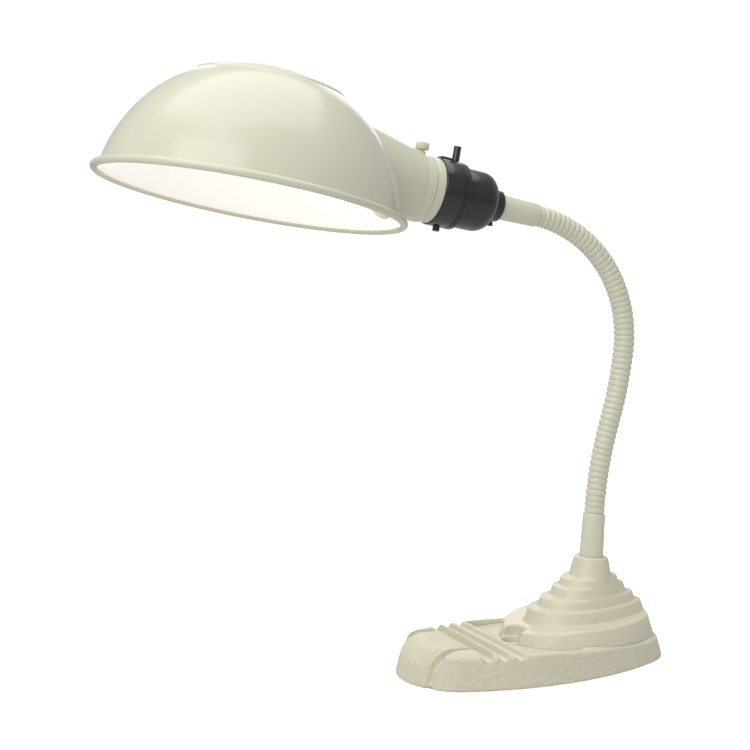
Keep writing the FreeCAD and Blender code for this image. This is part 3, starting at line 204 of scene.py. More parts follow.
# %% Cast enamel
def make_cast_enamel():
    color = (0.745, 0.710, 0.545)
    material, tree, shader = new_finish("cast_enamel", color, 0.34, Coat_Weight=0.25, Coat_Roughness=0.15)
    film = use_paint_film(tree, shader, color, 0.08, 0.27, 0.12, 700.0)
    link = tree.links.new
    where = add_node(tree, "ShaderNodeTexCoord")
    flat = add_node(tree, "ShaderNodeSeparateXYZ")
    link(where.outputs["Normal"], flat.inputs[0])
    upright = add_node(tree, "ShaderNodeMapRange")
    for name, value in (("From Min", 0.75), ("From Max", 0.35), ("To Min", 0.12), ("To Max", 1.0)):
        upright.inputs[name].default_value = value
    link(flat.outputs["Z"], upright.inputs["Value"])
    height = add_node(tree, "ShaderNodeSeparateXYZ")
    link(where.outputs["Object"], height.inputs[0])
    low = add_node(tree, "ShaderNodeMapRange")
    for name, value in (("From Min", 0.030), ("From Max", 0.020), ("To Min", 0.35), ("To Max", 1.0)):
        low.inputs[name].default_value = value
    link(height.outputs["Z"], low.inputs["Value"])
    behind_nose = add_node(tree, "ShaderNodeMapRange")
    for name, value in (("From Min", -0.148), ("From Max", -0.130), ("To Min", 0.15), ("To Max", 1.0)):
        behind_nose.inputs[name].default_value = value
    link(height.outputs["X"], behind_nose.inputs["Value"])
    mask = add_node(tree, "ShaderNodeMath", operation="MULTIPLY")
    link(upright.outputs[0], mask.inputs[0])
    link(low.outputs[0], mask.inputs[1])
    mask2 = add_node(tree, "ShaderNodeMath", operation="MULTIPLY")
    link(mask.outputs[0], mask2.inputs[0])
    link(behind_nose.outputs[0], mask2.inputs[1])
    wrinkle = add_node(tree, "ShaderNodeTexNoise", Scale=820.0, Detail=2.0, Roughness=0.5, Distortion=0.3)
    link(where.outputs["Object"], wrinkle.inputs["Vector"])
    pits = add_node(tree, "ShaderNodeTexNoise", Scale=380.0, Detail=2.0)
    link(where.outputs["Object"], pits.inputs["Vector"])
    both = add_node(tree, "ShaderNodeMath", operation="ADD")
    link(wrinkle.outputs["Fac"], both.inputs[0])
    link(pits.outputs["Fac"], both.inputs[1])
    masked = add_node(tree, "ShaderNodeMath", operation="MULTIPLY")
    link(both.outputs[0], masked.inputs[0])
    link(mask2.outputs[0], masked.inputs[1])
    total = add_node(tree, "ShaderNodeMath", operation="MULTIPLY_ADD")
    total.inputs[1].default_value = 0.10
    link(film.outputs["Height"], total.inputs[0])
    link(masked.outputs[0], total.inputs[2])
    add_bump(tree, shader, total.outputs[0], 0.0008)
    return material


cast_enamel = make_cast_enamel()

# %% [markdown]
# Inside, the shade is white and lit by the bulb, so in the picture it is brighter than any
# outside surface. The glow is an emission that fades a little away from the bulb.

# %% Lit inside and bulb glass
def make_lit_inside():
    material, tree, shader = new_finish("lit_inside", (0.86, 0.85, 0.82), 0.35, Emission_Strength=1.0)
    link = tree.links.new
    distance = add_node(tree, "ShaderNodeVectorMath", operation="DISTANCE")
    distance.inputs[1].default_value = (-0.215, 0.0, 0.345)
    link(object_place(tree), distance.inputs[0])
    fade = add_node(tree, "ShaderNodeValToRGB")
    fade.color_ramp.elements[0].position = 0.03
    fade.color_ramp.elements[0].color = (0.42, 0.41, 0.39, 1)
    fade.color_ramp.elements[1].position = 0.17
    fade.color_ramp.elements[1].color = (0.22, 0.20, 0.175, 1)
    link(distance.outputs["Value"], fade.inputs["Fac"])
    link(fade.outputs["Color"], shader.inputs["Emission Color"])
    return material


lit_inside = make_lit_inside()


def make_lamp_glass():
    material, tree, shader = new_finish("lamp_glass", (0.95, 0.94, 0.90), 0.25, Emission_Strength=1.0)
    glow = add_node(tree, "ShaderNodeLayerWeight", Blend=0.35)
    ramp = add_node(tree, "ShaderNodeValToRGB")
    ramp.color_ramp.elements[0].color = (0.95, 0.94, 0.91, 1)
    ramp.color_ramp.elements[1].color = (0.62, 0.59, 0.53, 1)
    tree.links.new(glow.outputs["Facing"], ramp.inputs["Fac"])
    tree.links.new(ramp.outputs["Color"], shader.inputs["Emission Color"])
    return material


lamp_glass = make_lamp_glass()

# %% [markdown]
# The socket is black bakelite, pressed and polished: nearly black, with a hard gloss and
# faint flow marks. The rest are the plain finishes of parts that are mostly hidden.

# %% Bakelite and the plain finishes
def make_speckled(name, color, drift, gloss, gloss_drift, grain, depth, **plain):
    """A finish that is one colour with the paint film's drift and a fine grain."""
    material, tree, shader = new_finish(name, color, gloss, **plain)
    film = use_paint_film(tree, shader, color, drift, gloss, gloss_drift, grain)
    add_bump(tree, shader, film.outputs["Height"], depth)
    return material


bakelite = make_speckled("bakelite", (0.016, 0.016, 0.018), 0.5, 0.14, 0.12, 260.0, 0.00002,
                         Coat_Weight=0.4, Coat_Roughness=0.08)
dark_steel = make_speckled("black_screw", (0.05, 0.05, 0.05), 0.3, 0.3, 0.1, 1500.0, 0.00001, Metallic=0.8)
zinc = make_speckled("zinc", (0.60, 0.61, 0.62), 0.12, 0.30, 0.15, 1200.0, 0.00002, Metallic=1.0)
brass = make_speckled("brass", (0.70, 0.52, 0.24), 0.12, 0.25, 0.12, 1200.0, 0.00001, Metallic=1.0)
cap_metal = make_speckled("cap_metal", (0.72, 0.72, 0.73), 0.08, 0.30, 0.10, 900.0, 0.00001, Metallic=1.0)
ceramic = make_speckled("ceramic", (0.78, 0.77, 0.73), 0.05, 0.18, 0.08, 300.0, 0.00001)
black_glass = make_speckled("insulator", (0.02, 0.02, 0.03), 0.3, 0.10, 0.05, 300.0, 0.00001)
nylon = make_speckled("bushing", (0.03, 0.03, 0.03), 0.2, 0.45, 0.10, 1600.0, 0.00002)
felt = make_speckled("felt", (0.030, 0.032, 0.030), 0.6, 0.95, 0.02, 2600.0, 0.0004, Sheen_Weight=0.3)
print("finishes", len(bpy.data.materials))

# %% [markdown]
# Most of the lamp is turned: its pieces are circles along a line. One helper makes such a
# piece from a side view of radius and height, like the profile that a lathe would follow.

# %% Lathe helpers
def rounded(profile, closed=True, steps=4):
    """Side view with its corners rounded. An entry is (r, z) or (r, z, rounding), in mm."""
    out = []
    count = len(profile)
    for i, entry in enumerate(profile):
        here = Vector(entry[:2])
        radius = entry[2] if len(entry) > 2 else 0
        ends = i in (0, count - 1) and not closed
        if not radius or ends:
            out.append(here)
            continue
        before = (Vector(profile[i - 1][:2]) - here)
        after = (Vector(profile[(i + 1) % count][:2]) - here)
        angle = before.angle(after)
        cut = min(radius / math.tan(angle / 2), before.length * 0.49, after.length * 0.49)
        radius = cut * math.tan(angle / 2)
        start = here + before.normalized() * cut
        end = here + after.normalized() * cut
        centre = here + (before.normalized() + after.normalized()).normalized() * (radius / math.sin(angle / 2))
        a, b = start - centre, end - centre
        turn = a.angle_signed(b, 0.0)
        for k in range(steps + 1):
            t = -turn * k / steps
            out.append(centre + Vector((a.x * math.cos(t) - a.y * math.sin(t),
                                        a.x * math.sin(t) + a.y * math.cos(t))))
    return [(max(p.x, 0.0), p.y) for p in out]


def arc(centre, radius, start, end, steps):
    """Points on a side view's arc; angles in degrees from the outward direction."""
    turns = [math.radians(start + (end - start) * k / steps) for k in range(steps + 1)]
    return [(centre[0] + radius * math.cos(t), centre[1] + radius * math.sin(t)) for t in turns]


def turned(name, profile, place, finish, closed=True, sides=128):
    """Mesh object of a side view in mm spun about local Z, put in place in the row frame."""
    mesh = bpy.data.meshes.new(name)
    shape = bmesh.new()
    rings = []
    for radius, height in profile:
        if radius < 1e-6:
            rings.append([shape.verts.new((0, 0, height * MM))])
            continue
        rings.append([shape.verts.new((radius * MM * math.cos(2 * math.pi * k / sides),
                                       radius * MM * math.sin(2 * math.pi * k / sides),
                                       height * MM)) for k in range(sides)])
    pairs = list(zip(rings, rings[1:]))
    if closed:
        pairs.append((rings[-1], rings[0]))
    for low, high in pairs:
        if len(low) == 1 and len(high) == 1:
            continue
        for k in range(sides):
            n = (k + 1) % sides
            if len(low) == 1:
                shape.faces.new((low[0], high[n], high[k]))
            elif len(high) == 1:
                shape.faces.new((low[k], low[n], high[0]))
            else:
                shape.faces.new((low[k], low[n], high[n], high[k]))
    bmesh.ops.recalc_face_normals(shape, faces=shape.faces)
    shape.transform(place)
    shape.to_mesh(mesh)
    shape.free()
    mesh.shade_smooth()
    mesh.set_sharp_from_angle(angle=math.radians(38))
    mesh.materials.append(finish)
    piece = bpy.data.objects.new(name, mesh)
    scene.collection.objects.link(piece)
    return piece


def stand_for(piece, body, slot, *nodes):
    """The piece rides on a body and hides the nodes it shows. The slot is not used."""
    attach(piece, body)
    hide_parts(*nodes)
    print(piece.name, len(piece.data.polygons), "faces")


# %% [markdown]
# The CAD source builds the lamp along one line in the lamp's middle plane: up the stem, along
# four arcs of the gooseneck, through the socket and to the shade. The same sizes are
# written here once, and give the place of every turned piece.

# %% The lamp's centre line
COLLAR_TOP = 72.8
STEM_LEAN = 3.8
FERRULE_LENGTH = 31.3
NECK_ARCS = ((286.0, 13.7), (274.0, -10.7), (84.5, -63.8), (99.0, -22.8))
LINKS = 12
RIBS = 60


def heading(lean):
    return Vector((math.sin(math.radians(lean)), 0, math.cos(math.radians(lean))))


def along_neck(distance):
    """Point in mm and lean in degrees at a distance up the gooseneck."""
    point = Vector((0, 0, COLLAR_TOP)) + heading(STEM_LEAN) * FERRULE_LENGTH
    lean = STEM_LEAN
    for radius, turn in NECK_ARCS:
        side = 1 if turn > 0 else -1
        length = radius * math.radians(abs(turn))
        share = max(min(distance / length, 1.0), 0.0 if lean != STEM_LEAN else -1.0)
        centre = point + heading(lean + 90) * radius * side
        point = centre - heading(lean + turn * share + 90) * radius * side
        lean += turn * share
        distance -= length
        if distance <= 0:
            break
    return point, lean


NECK_LENGTH = sum(radius * math.radians(abs(turn)) for radius, turn in NECK_ARCS)
neck_end, neck_end_lean = along_neck(NECK_LENGTH)


def local_frame(origin, z_axis, x_axis):
    """Matrix in metres that puts a piece's own Z and X along the given directions."""
    turn = Matrix((x_axis, z_axis.cross(x_axis), z_axis)).transposed()
    return Matrix.Translation(origin * MM) @ turn.to_4x4()


stem_place = local_frame(Vector((0, 0, COLLAR_TOP)), heading(STEM_LEAN), heading(STEM_LEAN + 90))
ring_front = neck_end + heading(neck_end_lean) * (58.2 + FERRULE_LENGTH)
socket_place = local_frame(ring_front, -heading(neck_end_lean), heading(neck_end_lean + 90))
shade_lean = neck_end_lean + 90.9
mouth = ring_front + heading(neck_end_lean) * 116.0 - heading(shade_lean) * 33.0
shade_place = local_frame(mouth, heading(shade_lean), heading(shade_lean + 90))
print("neck", round(NECK_LENGTH, 1), "mm; mouth of the shade at", [round(v, 1) for v in mouth])

# %% [markdown]
# The dome is spun sheet steel: a ball 193 mm across, a flatter raised cap on its top with a
# small step round it, and a rolled bead at the mouth. The step's corners are rounded as
# spinning leaves them. The inside is its own surface with the lit finish.

# %% Dome
DOME, SINK, WALL = 96.4, 10.8, 1.0
CAP_EDGE, CAP_RUN, CAP_RISE, CAP_LIFT = 48.6, 0.9, 1.0, 0.3
BEAD, BEAD_OFFSET = 2.4, 1.8


def ball_height(radius, reach):
    return math.sqrt(radius * radius - reach * reach) - SINK


def dome_side(wall):
    """Side view of the dome from its mouth to its top, with a wall's thickness taken off."""
    radius = DOME - wall
    points = []
    foot = math.degrees(math.asin((BEAD * 1.8 + SINK) / radius))
    head = math.degrees(math.acos((CAP_EDGE + CAP_RUN + 0.6) / radius))
    points += arc((0, -SINK), radius, foot, head, 40)
    above = ball_height(DOME, CAP_EDGE) + CAP_RISE - wall
    top = DOME - SINK + CAP_LIFT - wall
    sag = top - above
    cap = (CAP_EDGE ** 2 + sag ** 2) / (2 * sag)
    edge = CAP_EDGE - 0.5
    start = math.degrees(math.acos(edge / cap))
    cap_points = arc((0, top - cap), cap, start, 90, 24)
    points += rounded([points[-1], (CAP_EDGE + CAP_RUN, ball_height(radius, CAP_EDGE + CAP_RUN), 0.8),
                       (CAP_EDGE, above, 0.9), cap_points[1]], closed=False)[1:-1]
    return points + cap_points[1:]


def make_dome():
    outside = dome_side(0.0)
    inside = dome_side(WALL)
    rim = DOME * math.cos(math.asin(SINK / DOME)) + BEAD_OFFSET
    bead = arc((rim, BEAD), BEAD, 115, -180, 26)
    profile = list(reversed(inside)) + list(reversed(bead)) + outside
    dome = turned("dome", profile, Matrix(), enamel, closed=False, sides=256)
    dome.data.materials.append(lit_inside)
    centre = Vector((0, 0, -SINK * MM))
    for face in dome.data.polygons:
        middle = face.center
        near_rim = math.hypot(middle.x, middle.y) > (rim - BEAD - 0.2) * MM and middle.z < 5.0 * MM
        if (middle - centre).dot(face.normal) < 0 and not near_rim:
            face.material_index = 1
    return dome


dome = make_dome()

# %% [markdown]
# The neck is a cone that meets the ball's side, so both pieces need a cut along a curve in
# space. A boolean does that well: the cone's inside is taken out of the dome, and the ball
# is taken off the neck. The meshes are finished there, before anything rides on a body.

# %% Neck and the opening for it
NECK_SLOPE = 0.23


def apply_cut(piece, cutter):
    """Takes the cutter out of the piece, leaves a plain mesh, and removes the cutter."""
    cut = piece.modifiers.new("cut", "BOOLEAN")
    cut.operation = "DIFFERENCE"
    cut.solver = "EXACT"
    cut.object = cutter
    ready = piece.evaluated_get(bpy.context.evaluated_depsgraph_get())
    mesh = bpy.data.meshes.new_from_object(ready)
    piece.modifiers.clear()
    piece.data = mesh
    bpy.data.objects.remove(cutter)
    return piece


shade_to_row = shade_place
dome.data.transform(shade_to_row)
cone_far, cone_near = 90.0, 8.0
opening = turned("opening", [(0, -cone_far), (23.2 + (cone_far - 8.0) * NECK_SLOPE - 1.2, -cone_far),
                             (22.0, -cone_near), (0, -cone_near)], socket_place, enamel, closed=False)
apply_cut(dome, opening)

neck_side = rounded([(22.0 + 62 * NECK_SLOPE, -70.0), (23.2 + 62 * NECK_SLOPE, -70.0), (23.2, -8.0, 0.5),
                     (22.6, -7.4, 0.4), (22.6, -0.4, 0.35), (21.4, -0.4, 0.35), (21.4, -8.0, 0.5)])
neck = turned("neck_cone", neck_side, socket_place, enamel, sides=192)
ball_side = arc((0, -SINK), DOME - 0.1, -89.9, 90, 90)
ball = turned("ball", [(0, ball_side[0][1])] + ball_side[1:-1] + [(0, ball_side[-1][1])],
              shade_place, enamel, closed=False, sides=192)
apply_cut(neck, ball)
for piece in (dome, neck):
    piece.data.shade_smooth()
    piece.data.set_sharp_from_angle(angle=math.radians(38))
stand_for(dome, "shade", "enamel", "shade_dome")
stand_for(neck, "shade", "enamel", "shade_neck")

# %% [markdown]
# The cream ring is turned from one piece with the sleeve that the shade slides on. It has
# a soft front edge and shows a thin dark gap to the neck.

# %% Ring with its sleeve
ring_side = rounded([(19.7, -10.5, 0.2), (21.0, -10.5, 0.3), (21.0, -7.5), (20.1, -7.5), (20.1, -2.9),
                     (21.0, -2.9), (21.0, 0.0), (21.9, 0.0, 0.7), (21.9, 6.6, 0.6), (19.7, 6.6)])
ring = turned("shade_ring_turned", ring_side, socket_place, enamel, sides=160)
stand_for(ring, "head", "enamel", "shade_ring")

# %% [markdown]
# The socket is two bakelite mouldings. The front one has two fine lines round its back end
# and a flat pad where the switch comes out. The cap behind it ends in a long rounded
# shoulder and a short collar. Its corners are soft, as the mould leaves them.

# %% Socket body and cap
body_side = rounded([(17.0, -13.0), (19.6, -13.0, 0.4), (19.6, 6.6), (22.7, 6.6, 0.8),
                     (22.7, 19.9, 0.15), (22.2, 20.1), (22.2, 20.4), (22.7, 20.6, 0.15),
                     (22.7, 21.9, 0.15), (22.2, 22.1), (22.2, 22.4), (22.7, 22.6, 0.15),
                     (22.7, 25.0, 0.6), (17.0, 25.0)])
socket_body = turned("socket_front", body_side, socket_place, bakelite, sides=160)


def rounded_pad(name, low, high, place, finish, rounding):
    """A block with softly rounded edges between two corners in mm."""
    mesh = bpy.data.meshes.new(name)
    shape = bmesh.new()
    bmesh.ops.create_cube(shape, size=1.0)
    size = [(b - a) * MM for a, b in zip(low, high)]
    middle = [(a + b) / 2 * MM for a, b in zip(low, high)]
    shape.transform(Matrix.Translation(middle) @ Matrix.Diagonal((*size, 1)))
    bmesh.ops.bevel(shape, geom=shape.edges[:], offset=rounding * MM, segments=3, affect="EDGES", profile=0.5)
    shape.transform(place)
    shape.to_mesh(mesh)
    shape.free()
    mesh.shade_smooth()
    mesh.materials.append(finish)
    piece = bpy.data.objects.new(name, mesh)
    scene.collection.objects.link(piece)
    return piece


def join(first, *others):
    """Puts the other meshes into the first one."""
    shape = bmesh.new()
    for piece in (first, *others):
        shape.from_mesh(piece.data)
    shape.to_mesh(first.data)
    shape.free()
    for piece in others:
        bpy.data.objects.remove(piece)
    return first


flat_pad = rounded_pad("switch_flat", (20.5, -6.0, 7.2), (23.4, 6.0, 17.0), socket_place, bakelite, 0.6)
join(socket_body, flat_pad)
stand_for(socket_body, "head", "bakelite", "socket_body")

shoulder = arc((8.0, 39.9), 12.5, 0, 76.5, 20)
cap_side = (rounded([(18.1, 25.0), (20.5, 25.0, 0.5), (20.5, 39.0)], closed=False)
            + shoulder
            + rounded([shoulder[-1], (10.8, 52.6, 0.5), (10.8, 58.2, 0.7), (4.95, 58.2, 0.3), (4.95, 50.0),
                       (8.0, 50.0)], closed=False)[1:]
            + list(reversed(arc((8.0, 39.9), 10.1, 0, 88, 12))))
socket_cap = turned("socket_rear", cap_side, socket_place, bakelite, sides=160)
stand_for(socket_cap, "head", "bakelite", "socket_cap")

# %% [markdown]
# The switch is a rod that is pushed through the socket. Its long end shows above, its
# stub below, and the rest is hidden inside. The set screw sits under the cap's collar.

# %% Switch rod and set screw
def across_socket(distance, upward=True):
    """Frame across the socket's axis: local Z points up from the axis, or down from it."""
    up = socket_place.to_3x3() @ Vector((1, 0, 0))
    side = socket_place.to_3x3() @ Vector((0, 0, 1))
    origin = (socket_place @ Vector((0, 0, distance * MM))) / MM
    return local_frame(origin, up if upward else -up, side)


rod = turned("switch_rod_turned", rounded([(0, 1.0), (2.55, 1.0), (2.55, 33.0, 0.35), (0, 33.0)], closed=False),
             across_socket(20.7), bakelite, closed=False, sides=48)
stub = turned("switch_stub", rounded([(0, 1.0), (2.4, 1.0), (2.4, 25.8, 0.35), (0, 25.8)], closed=False),
              across_socket(14.5, upward=False), bakelite, closed=False, sides=48)
carriage = rounded_pad("switch_carriage", (-1.8, -4.0, 12.1), (1.8, 4.0, 23.25), socket_place, bakelite, 0.3)
join(rod, stub, carriage)
stand_for(rod, "switch", "bakelite", "switch_rod")

screw = turned("collar_screw", rounded([(0, 5.0), (1.6, 5.0), (1.6, 12.0), (2.1, 12.0, 0.15), (2.1, 14.2, 0.4),
                                        (0, 14.2)], closed=False),
               across_socket(54.2, upward=False), dark_steel, closed=False, sides=40)
stand_for(screw, "head", "black_screw", "cap_set_screw")

# %% [markdown]
# Both ends of the gooseneck are held by the same tapered ferrule, spun from thin tube. Its
# ends are rolled in slightly.

# %% Ferrules
def ferrule_side(start, end):
    return rounded([(4.95, start), (8.6, start, 0.5), (7.9, end, 0.9), (2.6, end), (2.6, (start + end) / 2),
                    (4.95, (start + end) / 2)])


lower = turned("ferrule_low", ferrule_side(0.0, FERRULE_LENGTH - 0.3), stem_place, enamel, sides=96)
stand_for(lower, "base", "enamel", "lower_ferrule")
upper = turned("ferrule_high", ferrule_side(58.2, 58.2 + FERRULE_LENGTH), socket_place, enamel, sides=96)
stand_for(upper, "head", "enamel", "upper_ferrule")

# %% [markdown]
# The gooseneck is the lamp's most regular piece: sixty ribs at one pitch along a curve. That
# is work for Geometry Nodes. The tree reads how far along the neck each point lies, turns
# that into a place within one rib, and lets it set the radius of the tube. The neck bends,
# so it is built in twelve lengths. Each runs from the middle of one link to the middle of
# the next.

# %% Rib tree
def socket_inputs(tree, **values):
    for name, value in values.items():
        kind = {int: "NodeSocketInt", float: "NodeSocketFloat"}.get(type(value), "NodeSocketMaterial")
        made = tree.interface.new_socket(name.replace("_", " "), in_out="INPUT", socket_type=kind)
        if kind != "NodeSocketMaterial":
            made.default_value = value


def new_geometry_tree(name, **values):
    tree = bpy.data.node_groups.new(name, "GeometryNodeTree")
    tree.interface.new_socket("Geometry", in_out="INPUT", socket_type="NodeSocketGeometry")
    socket_inputs(tree, **values)
    tree.interface.new_socket("Geometry", in_out="OUTPUT", socket_type="NodeSocketGeometry")
    return tree, tree.nodes.new("NodeGroupInput"), tree.nodes.new("NodeGroupOutput")


def chain_math(tree, value, *steps):
    """Runs a value through maths steps of (operation, other value or socket)."""
    for operation, other in steps:
        node = tree.nodes.new("ShaderNodeMath")
        node.operation = operation
        tree.links.new(value, node.inputs[0])
        if hasattr(other, "is_output"):
            tree.links.new(other, node.inputs[1])
        elif other is not None:
            node.inputs[1].default_value = other
        value = node.outputs[0]
    return value


def finish_tree(tree, geometry, source, sink):
    """Ends a tree with real geometry, shaded smooth and with a material. Ends a tree
    the way the export needs: real geometry with a material.
    """
    smooth = tree.nodes.new("GeometryNodeSetShadeSmooth")
    paint = tree.nodes.new("GeometryNodeSetMaterial")
    real = tree.nodes.new("GeometryNodeRealizeInstances")
    tree.links.new(geometry, real.inputs[0])
    tree.links.new(real.outputs[0], smooth.inputs["Geometry"])
    tree.links.new(smooth.outputs[0], paint.inputs["Geometry"])
    tree.links.new(source.outputs["Finish"], paint.inputs["Material"])
    tree.links.new(paint.outputs[0], sink.inputs[0])


def make_rib_tree():
    tree, source, sink = new_geometry_tree("ribbed tube", Start=0.0, Pitch=0.0042, Rib_radius=0.0073,
                                           Root_radius=0.0066, Rings=200, Sides=64, Finish=None)
    link = tree.links.new
    points = tree.nodes.new("GeometryNodeResampleCurve")
    link(source.outputs["Geometry"], points.inputs["Curve"])
    link(source.outputs["Rings"], points.inputs["Count"])
    where = tree.nodes.new("GeometryNodeSplineParameter")
    swell = chain_math(tree, where.outputs["Length"], ("ADD", source.outputs["Start"]),
                       ("DIVIDE", source.outputs["Pitch"]), ("FRACT", None), ("MULTIPLY", 2.0),
                       ("SUBTRACT", 1.0), ("ABSOLUTE", None), ("POWER", 4.0))
    drop = chain_math(tree, source.outputs["Rib radius"], ("SUBTRACT", source.outputs["Root radius"]),
                      ("MULTIPLY", swell))
    radius = chain_math(tree, source.outputs["Rib radius"], ("SUBTRACT", drop))
    size = tree.nodes.new("GeometryNodeSetCurveRadius")
    link(points.outputs[0], size.inputs["Curve"])
    link(radius, size.inputs["Radius"])
    circle = tree.nodes.new("GeometryNodeCurvePrimitiveCircle")
    circle.inputs["Radius"].default_value = 1.0
    link(source.outputs["Sides"], circle.inputs["Resolution"])
    tube = tree.nodes.new("GeometryNodeCurveToMesh")
    link(size.outputs[0], tube.inputs["Curve"])
    link(circle.outputs[0], tube.inputs["Profile Curve"])
    if "Scale" in tube.inputs:
        spread = tree.nodes.new("GeometryNodeInputRadius")
        link(spread.outputs[0], tube.inputs["Scale"])
    tube.inputs["Fill Caps"].default_value = True
    finish_tree(tree, tube.outputs[0], source, sink)
    return tree


rib_tree = make_rib_tree()


def set_inputs(modifier, **values):
    """Sets a tree's inputs by their identifiers, found by name."""
    names = {item.name: item.identifier for item in modifier.node_group.interface.items_tree
             if item.item_type == "SOCKET" and item.in_out == "INPUT"}
    for name, value in values.items():
        modifier[names[name.replace("_", " ")]] = value


def to_plain_mesh(maker, name):
    """The finished mesh of an object with a tree, as a new plain object."""
    bpy.context.view_layer.update()
    ready = maker.evaluated_get(bpy.context.evaluated_depsgraph_get())
    mesh = bpy.data.meshes.new_from_object(ready)
    maker.modifiers.clear()
    bpy.data.objects.remove(maker)
    mesh.name = name
    piece = bpy.data.objects.new(name, mesh)
    scene.collection.objects.link(piece)
    return piece


# %% Gooseneck
def neck_length_piece(index):
    """One length of the gooseneck across hinge number index."""
    step = NECK_LENGTH / LINKS
    low = -0.3 if index == 0 else (index - 0.5) * step
    high = NECK_LENGTH if index == LINKS - 1 else (index + 0.5) * step
    curve = bpy.data.curves.new("neck_line", "CURVE")
    curve.dimensions = "3D"
    spline = curve.splines.new("POLY")
    count = 90
    spline.points.add(count - 1)
    for k in range(count):
        point, _ = along_neck(low + (high - low) * k / (count - 1))
        spline.points[k].co = (*(point * MM), 1)
    maker = bpy.data.objects.new("neck_line", curve)
    scene.collection.objects.link(maker)
    ribs = maker.modifiers.new("ribs", "NODES")
    ribs.node_group = rib_tree
    pitch = NECK_LENGTH / RIBS
    rings = int((high - low) / pitch * 16)
    set_inputs(ribs, Start=low * MM, Pitch=pitch * MM, Rib_radius=7.3 * MM, Root_radius=6.35 * MM,
               Rings=rings, Sides=64, Finish=enamel)
    piece = to_plain_mesh(maker, f"gooseneck_{index + 1:02d}")
    piece.data.materials.clear()
    piece.data.materials.append(enamel)
    start = along_neck(0.0 if index == 0 else low)[0] * MM
    end = along_neck((index + 0.5) * step)[0] * MM
    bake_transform(piece)
    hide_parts(f"gooseneck_link_{index + 1:02d}")
    return piece


lengths = [neck_length_piece(index) for index in range(LINKS)]
print("gooseneck lengths", len(lengths), "faces each about", len(lengths[3].data.polygons))

# %% [markdown]
# The thumb screw that clamps the shade has a knurled head: a ring of fine upright grooves
# for the fingers. The grooves repeat, so a small tree sets them round the head: it copies
# one thin ridge to points on a circle.

# %% Thumb screw
def make_knurl_tree():
    tree, source, sink = new_geometry_tree("knurl", Ridges=36, Head_radius=0.0045, Ridge_width=0.0005,
                                           Height=0.0034, Middle=0.0275, Finish=None)
    link = tree.links.new
    circle = tree.nodes.new("GeometryNodeCurvePrimitiveCircle")
    link(source.outputs["Ridges"], circle.inputs["Resolution"])
    link(source.outputs["Head radius"], circle.inputs["Radius"])
    points = tree.nodes.new("GeometryNodeCurveToPoints")
    points.mode = "EVALUATED"
    link(circle.outputs[0], points.inputs["Curve"])
    ridge = tree.nodes.new("GeometryNodeMeshCylinder")
    ridge.inputs["Vertices"].default_value = 6
    link(source.outputs["Ridge width"], ridge.inputs["Radius"])
    link(source.outputs["Height"], ridge.inputs["Depth"])
    copies = tree.nodes.new("GeometryNodeInstanceOnPoints")
    link(points.outputs["Points"], copies.inputs["Points"])
    link(ridge.outputs["Mesh"], copies.inputs["Instance"])
    lift = tree.nodes.new("GeometryNodeSetPosition")
    height = tree.nodes.new("ShaderNodeCombineXYZ")
    link(source.outputs["Middle"], height.inputs["Z"])
    link(copies.outputs[0], lift.inputs["Geometry"])
    link(height.outputs[0], lift.inputs["Offset"])
    both = tree.nodes.new("GeometryNodeJoinGeometry")
    link(lift.outputs[0], both.inputs[0])
    link(source.outputs["Geometry"], both.inputs[0])
    finish_tree(tree, both.outputs[0], source, sink)
    return tree


thumb_side = rounded([(0, 20.5), (1.65, 20.5, 0.3), (1.65, 25.2, 0.3), (4.3, 25.2, 0.4), (4.3, 29.7, 0.6),
                      (0, 29.7)], closed=False)
thumb = turned("thumb_screw_head", thumb_side, Matrix(), enamel, closed=False, sides=72)
knurl = thumb.modifiers.new("knurl", "NODES")
knurl.node_group = make_knurl_tree()
set_inputs(knurl, Ridges=36, Head_radius=4.22 * MM, Ridge_width=0.26 * MM, Height=3.3 * MM,
           Middle=27.45 * MM, Finish=enamel)
thumb = to_plain_mesh(thumb, "thumb_screw_knurled")
thumb.data.materials.clear()
thumb.data.materials.append(enamel)
thumb.data.transform(across_socket(-5.2))
stand_for(thumb, "thumb", "enamel", "thumb_screw")

# %% [markdown]
# The base is cast iron, and no edge of a casting is sharp. The CAD solid has the right
# form with hard edges, so a merged copy of it is remeshed with small voxels and smoothed.
# That melts every edge a little, the way sand and thick paint do. The hollow underneath is
# never seen behind the cover, so it is filled first, and the voxels go where they count.

# %% Base casting
def solid_oval(name, front, back, half, low, high):
    """A plain oval block in mm, used only to fill the hollow before the remesh."""
    mesh = bpy.data.meshes.new(name)
    shape = bmesh.new()
    bmesh.ops.create_cone(shape, cap_ends=True, segments=96, radius1=1, radius2=1, depth=1)
    size = Matrix.Diagonal(((front + back) / 2 * MM, half * MM, (high - low) * MM, 1))
    shape.transform(Matrix.Translation(((back - front) / 2 * MM, 0, (low + high) / 2 * MM)) @ size)
    shape.to_mesh(mesh)
    shape.free()
    piece = bpy.data.objects.new(name, mesh)
    scene.collection.objects.link(piece)
    return piece


def merged_copy(node, name):
    """The CAD node's triangles joined into one clean skin, as a new object."""
    source = frame["nodes"][node]
    shape = bmesh.new()
    shape.from_mesh(source.data)
    shape.transform(source.matrix_world)
    bmesh.ops.remove_doubles(shape, verts=shape.verts, dist=1e-6)
    mesh = bpy.data.meshes.new(name)
    shape.to_mesh(mesh)
    shape.free()
    piece = bpy.data.objects.new(name, mesh)
    scene.collection.objects.link(piece)
    return piece


def smooth_step(values, low, high):
    share = numpy.clip((values - low) / (high - low), 0.0, 1.0)
    return share * share * (3 - 2 * share)


